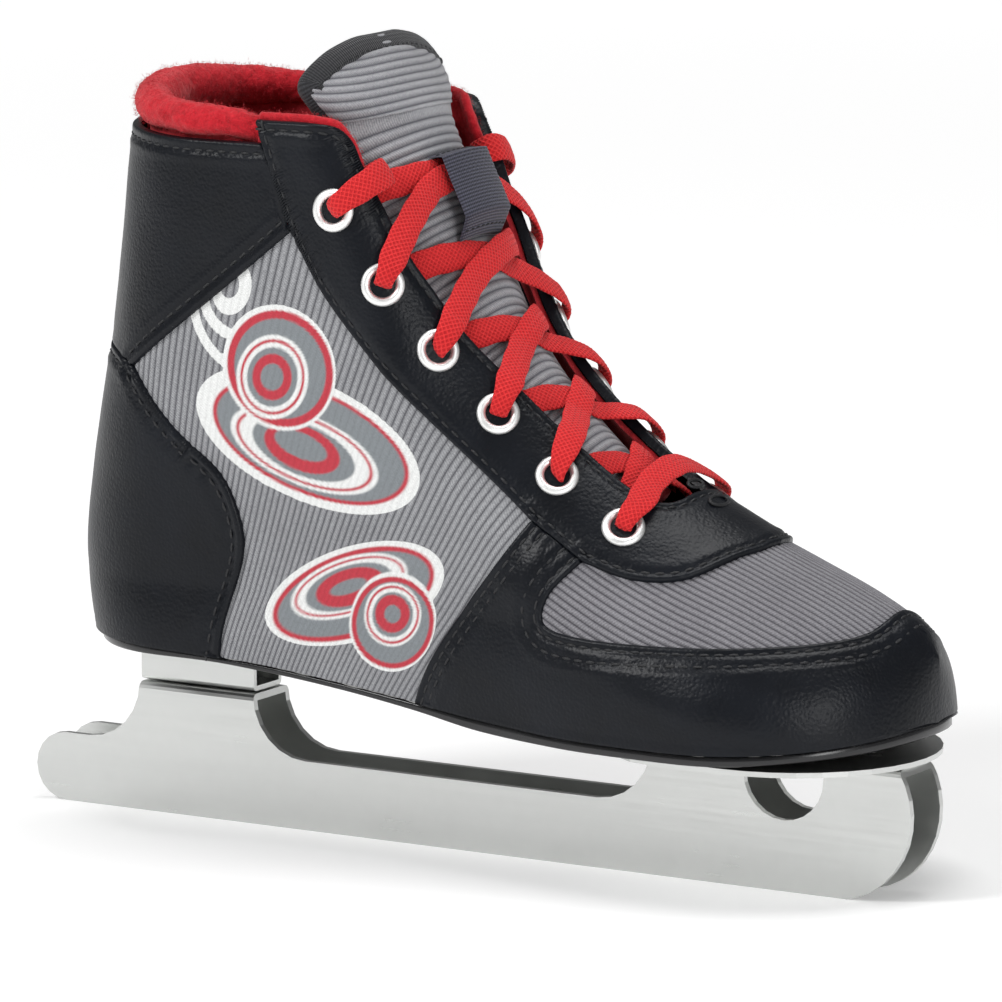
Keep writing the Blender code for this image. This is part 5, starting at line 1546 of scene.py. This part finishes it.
def build_bartacks():
    """Two sewn ovals where the flaps meet in front of the lace."""
    angle = np.linspace(0, 2 * np.pi, 61)
    for k, (v_middle, wide, deep) in enumerate(((0.335, 3.6, 1.7), (0.375, 2.8, 1.3))):
        here, up = skin(v_middle, 0.0, 1.7)
        ahead = skin(v_middle + 0.01, 0.0, 1.7)[0] - here
        ahead /= np.linalg.norm(ahead)
        across = np.cross(up, ahead)
        line = here + np.cos(angle)[:, None] * across * wide + np.sin(angle)[:, None] * ahead * deep
        line[-1] = line[0]
        obj = swept(f"throat_tack_{k + 1}", line, np.tile(up, (61, 1)), ellipse(0.42, 0.42, 8), THREAD)
        stand_in(obj, slot="black_leather")


build_quarters()
build_vamp()
build_tongue()
build_binding()
build_lace()
build_loop()
build_eyelets()
build_collar()
build_lining()
flap_lining()
build_sole()
build_footbed()
build_bartacks()
finish_kept_nodes()


# ---------------------------------------------------------------- picture

CAMERA_PLACE = (1.020836, -1.688549, 0.426911)
CAMERA_DIRECTION = (-0.50729, 0.84427, -0.17279)
CAMERA_LENS = 312.57
MIDDLE = (0.0, 0.0, 0.09)        # the lamps point here
# name, place, width and height in metres, watts
LAMPS = [("key", (-0.75, -1.25, 1.25), (0.6, 0.6), 18),
         ("top", (0.1, 0.15, 1.5), (0.8, 0.8), 12),
         ("fill", (1.5, -0.9, 0.55), (0.45, 0.8), 9)]


def lamp(name, place, size, power):
    """A soft lamp that points at the skate."""
    data = bpy.data.lights.new(name, "AREA")
    data.shape = "RECTANGLE"
    data.size, data.size_y = size
    data.energy = power
    obj = bpy.data.objects.new(name, data)
    bpy.context.scene.collection.objects.link(obj)
    obj.location = place
    obj.rotation_euler = (Vector(MIDDLE) - Vector(place)).to_track_quat("-Z", "Y").to_euler()


def build_picture():
    """White floor and surroundings, lamps and camera."""
    scene = bpy.context.scene
    world = bpy.data.worlds.new("studio")
    scene.world = world
    world.use_nodes = True
    background = world.node_tree.nodes["Background"]
    background.inputs["Color"].default_value = (1.0, 1.0, 1.0, 1)
    background.inputs["Strength"].default_value = 0.22

    n = Nodes("white_floor")
    far = n.add("ShaderNodeVectorMath", {0: n.place()}, operation="LENGTH").outputs["Value"]
    n.finish(Base_Color=(0.90, 0.90, 0.90, 1), Roughness=0.9, Specular_IOR_Level=0.1,
             Emission_Color=(1, 1, 1, 1), Emission_Strength=n.range(far, 0.19, 0.80, 0.25, 2.2))
    far_off = 9000
    corners = [(-far_off, -far_off, 0), (far_off, -far_off, 0), (far_off, far_off, 0), (-far_off, far_off, 0)]
    floor = mesh_object("floor", corners, [[0, 1, 2, 3]], n.mat, smooth=False)

    for each in LAMPS:
        lamp(*each)

    data = bpy.data.cameras.new("camera")
    data.lens = CAMERA_LENS
    data.clip_end = 60
    camera = bpy.data.objects.new("camera", data)
    scene.collection.objects.link(camera)
    camera.location = CAMERA_PLACE
    camera.rotation_euler = Vector(CAMERA_DIRECTION).to_track_quat("-Z", "Y").to_euler()
    scene.camera = camera
    scene.view_settings.view_transform = "Standard"


build_picture()
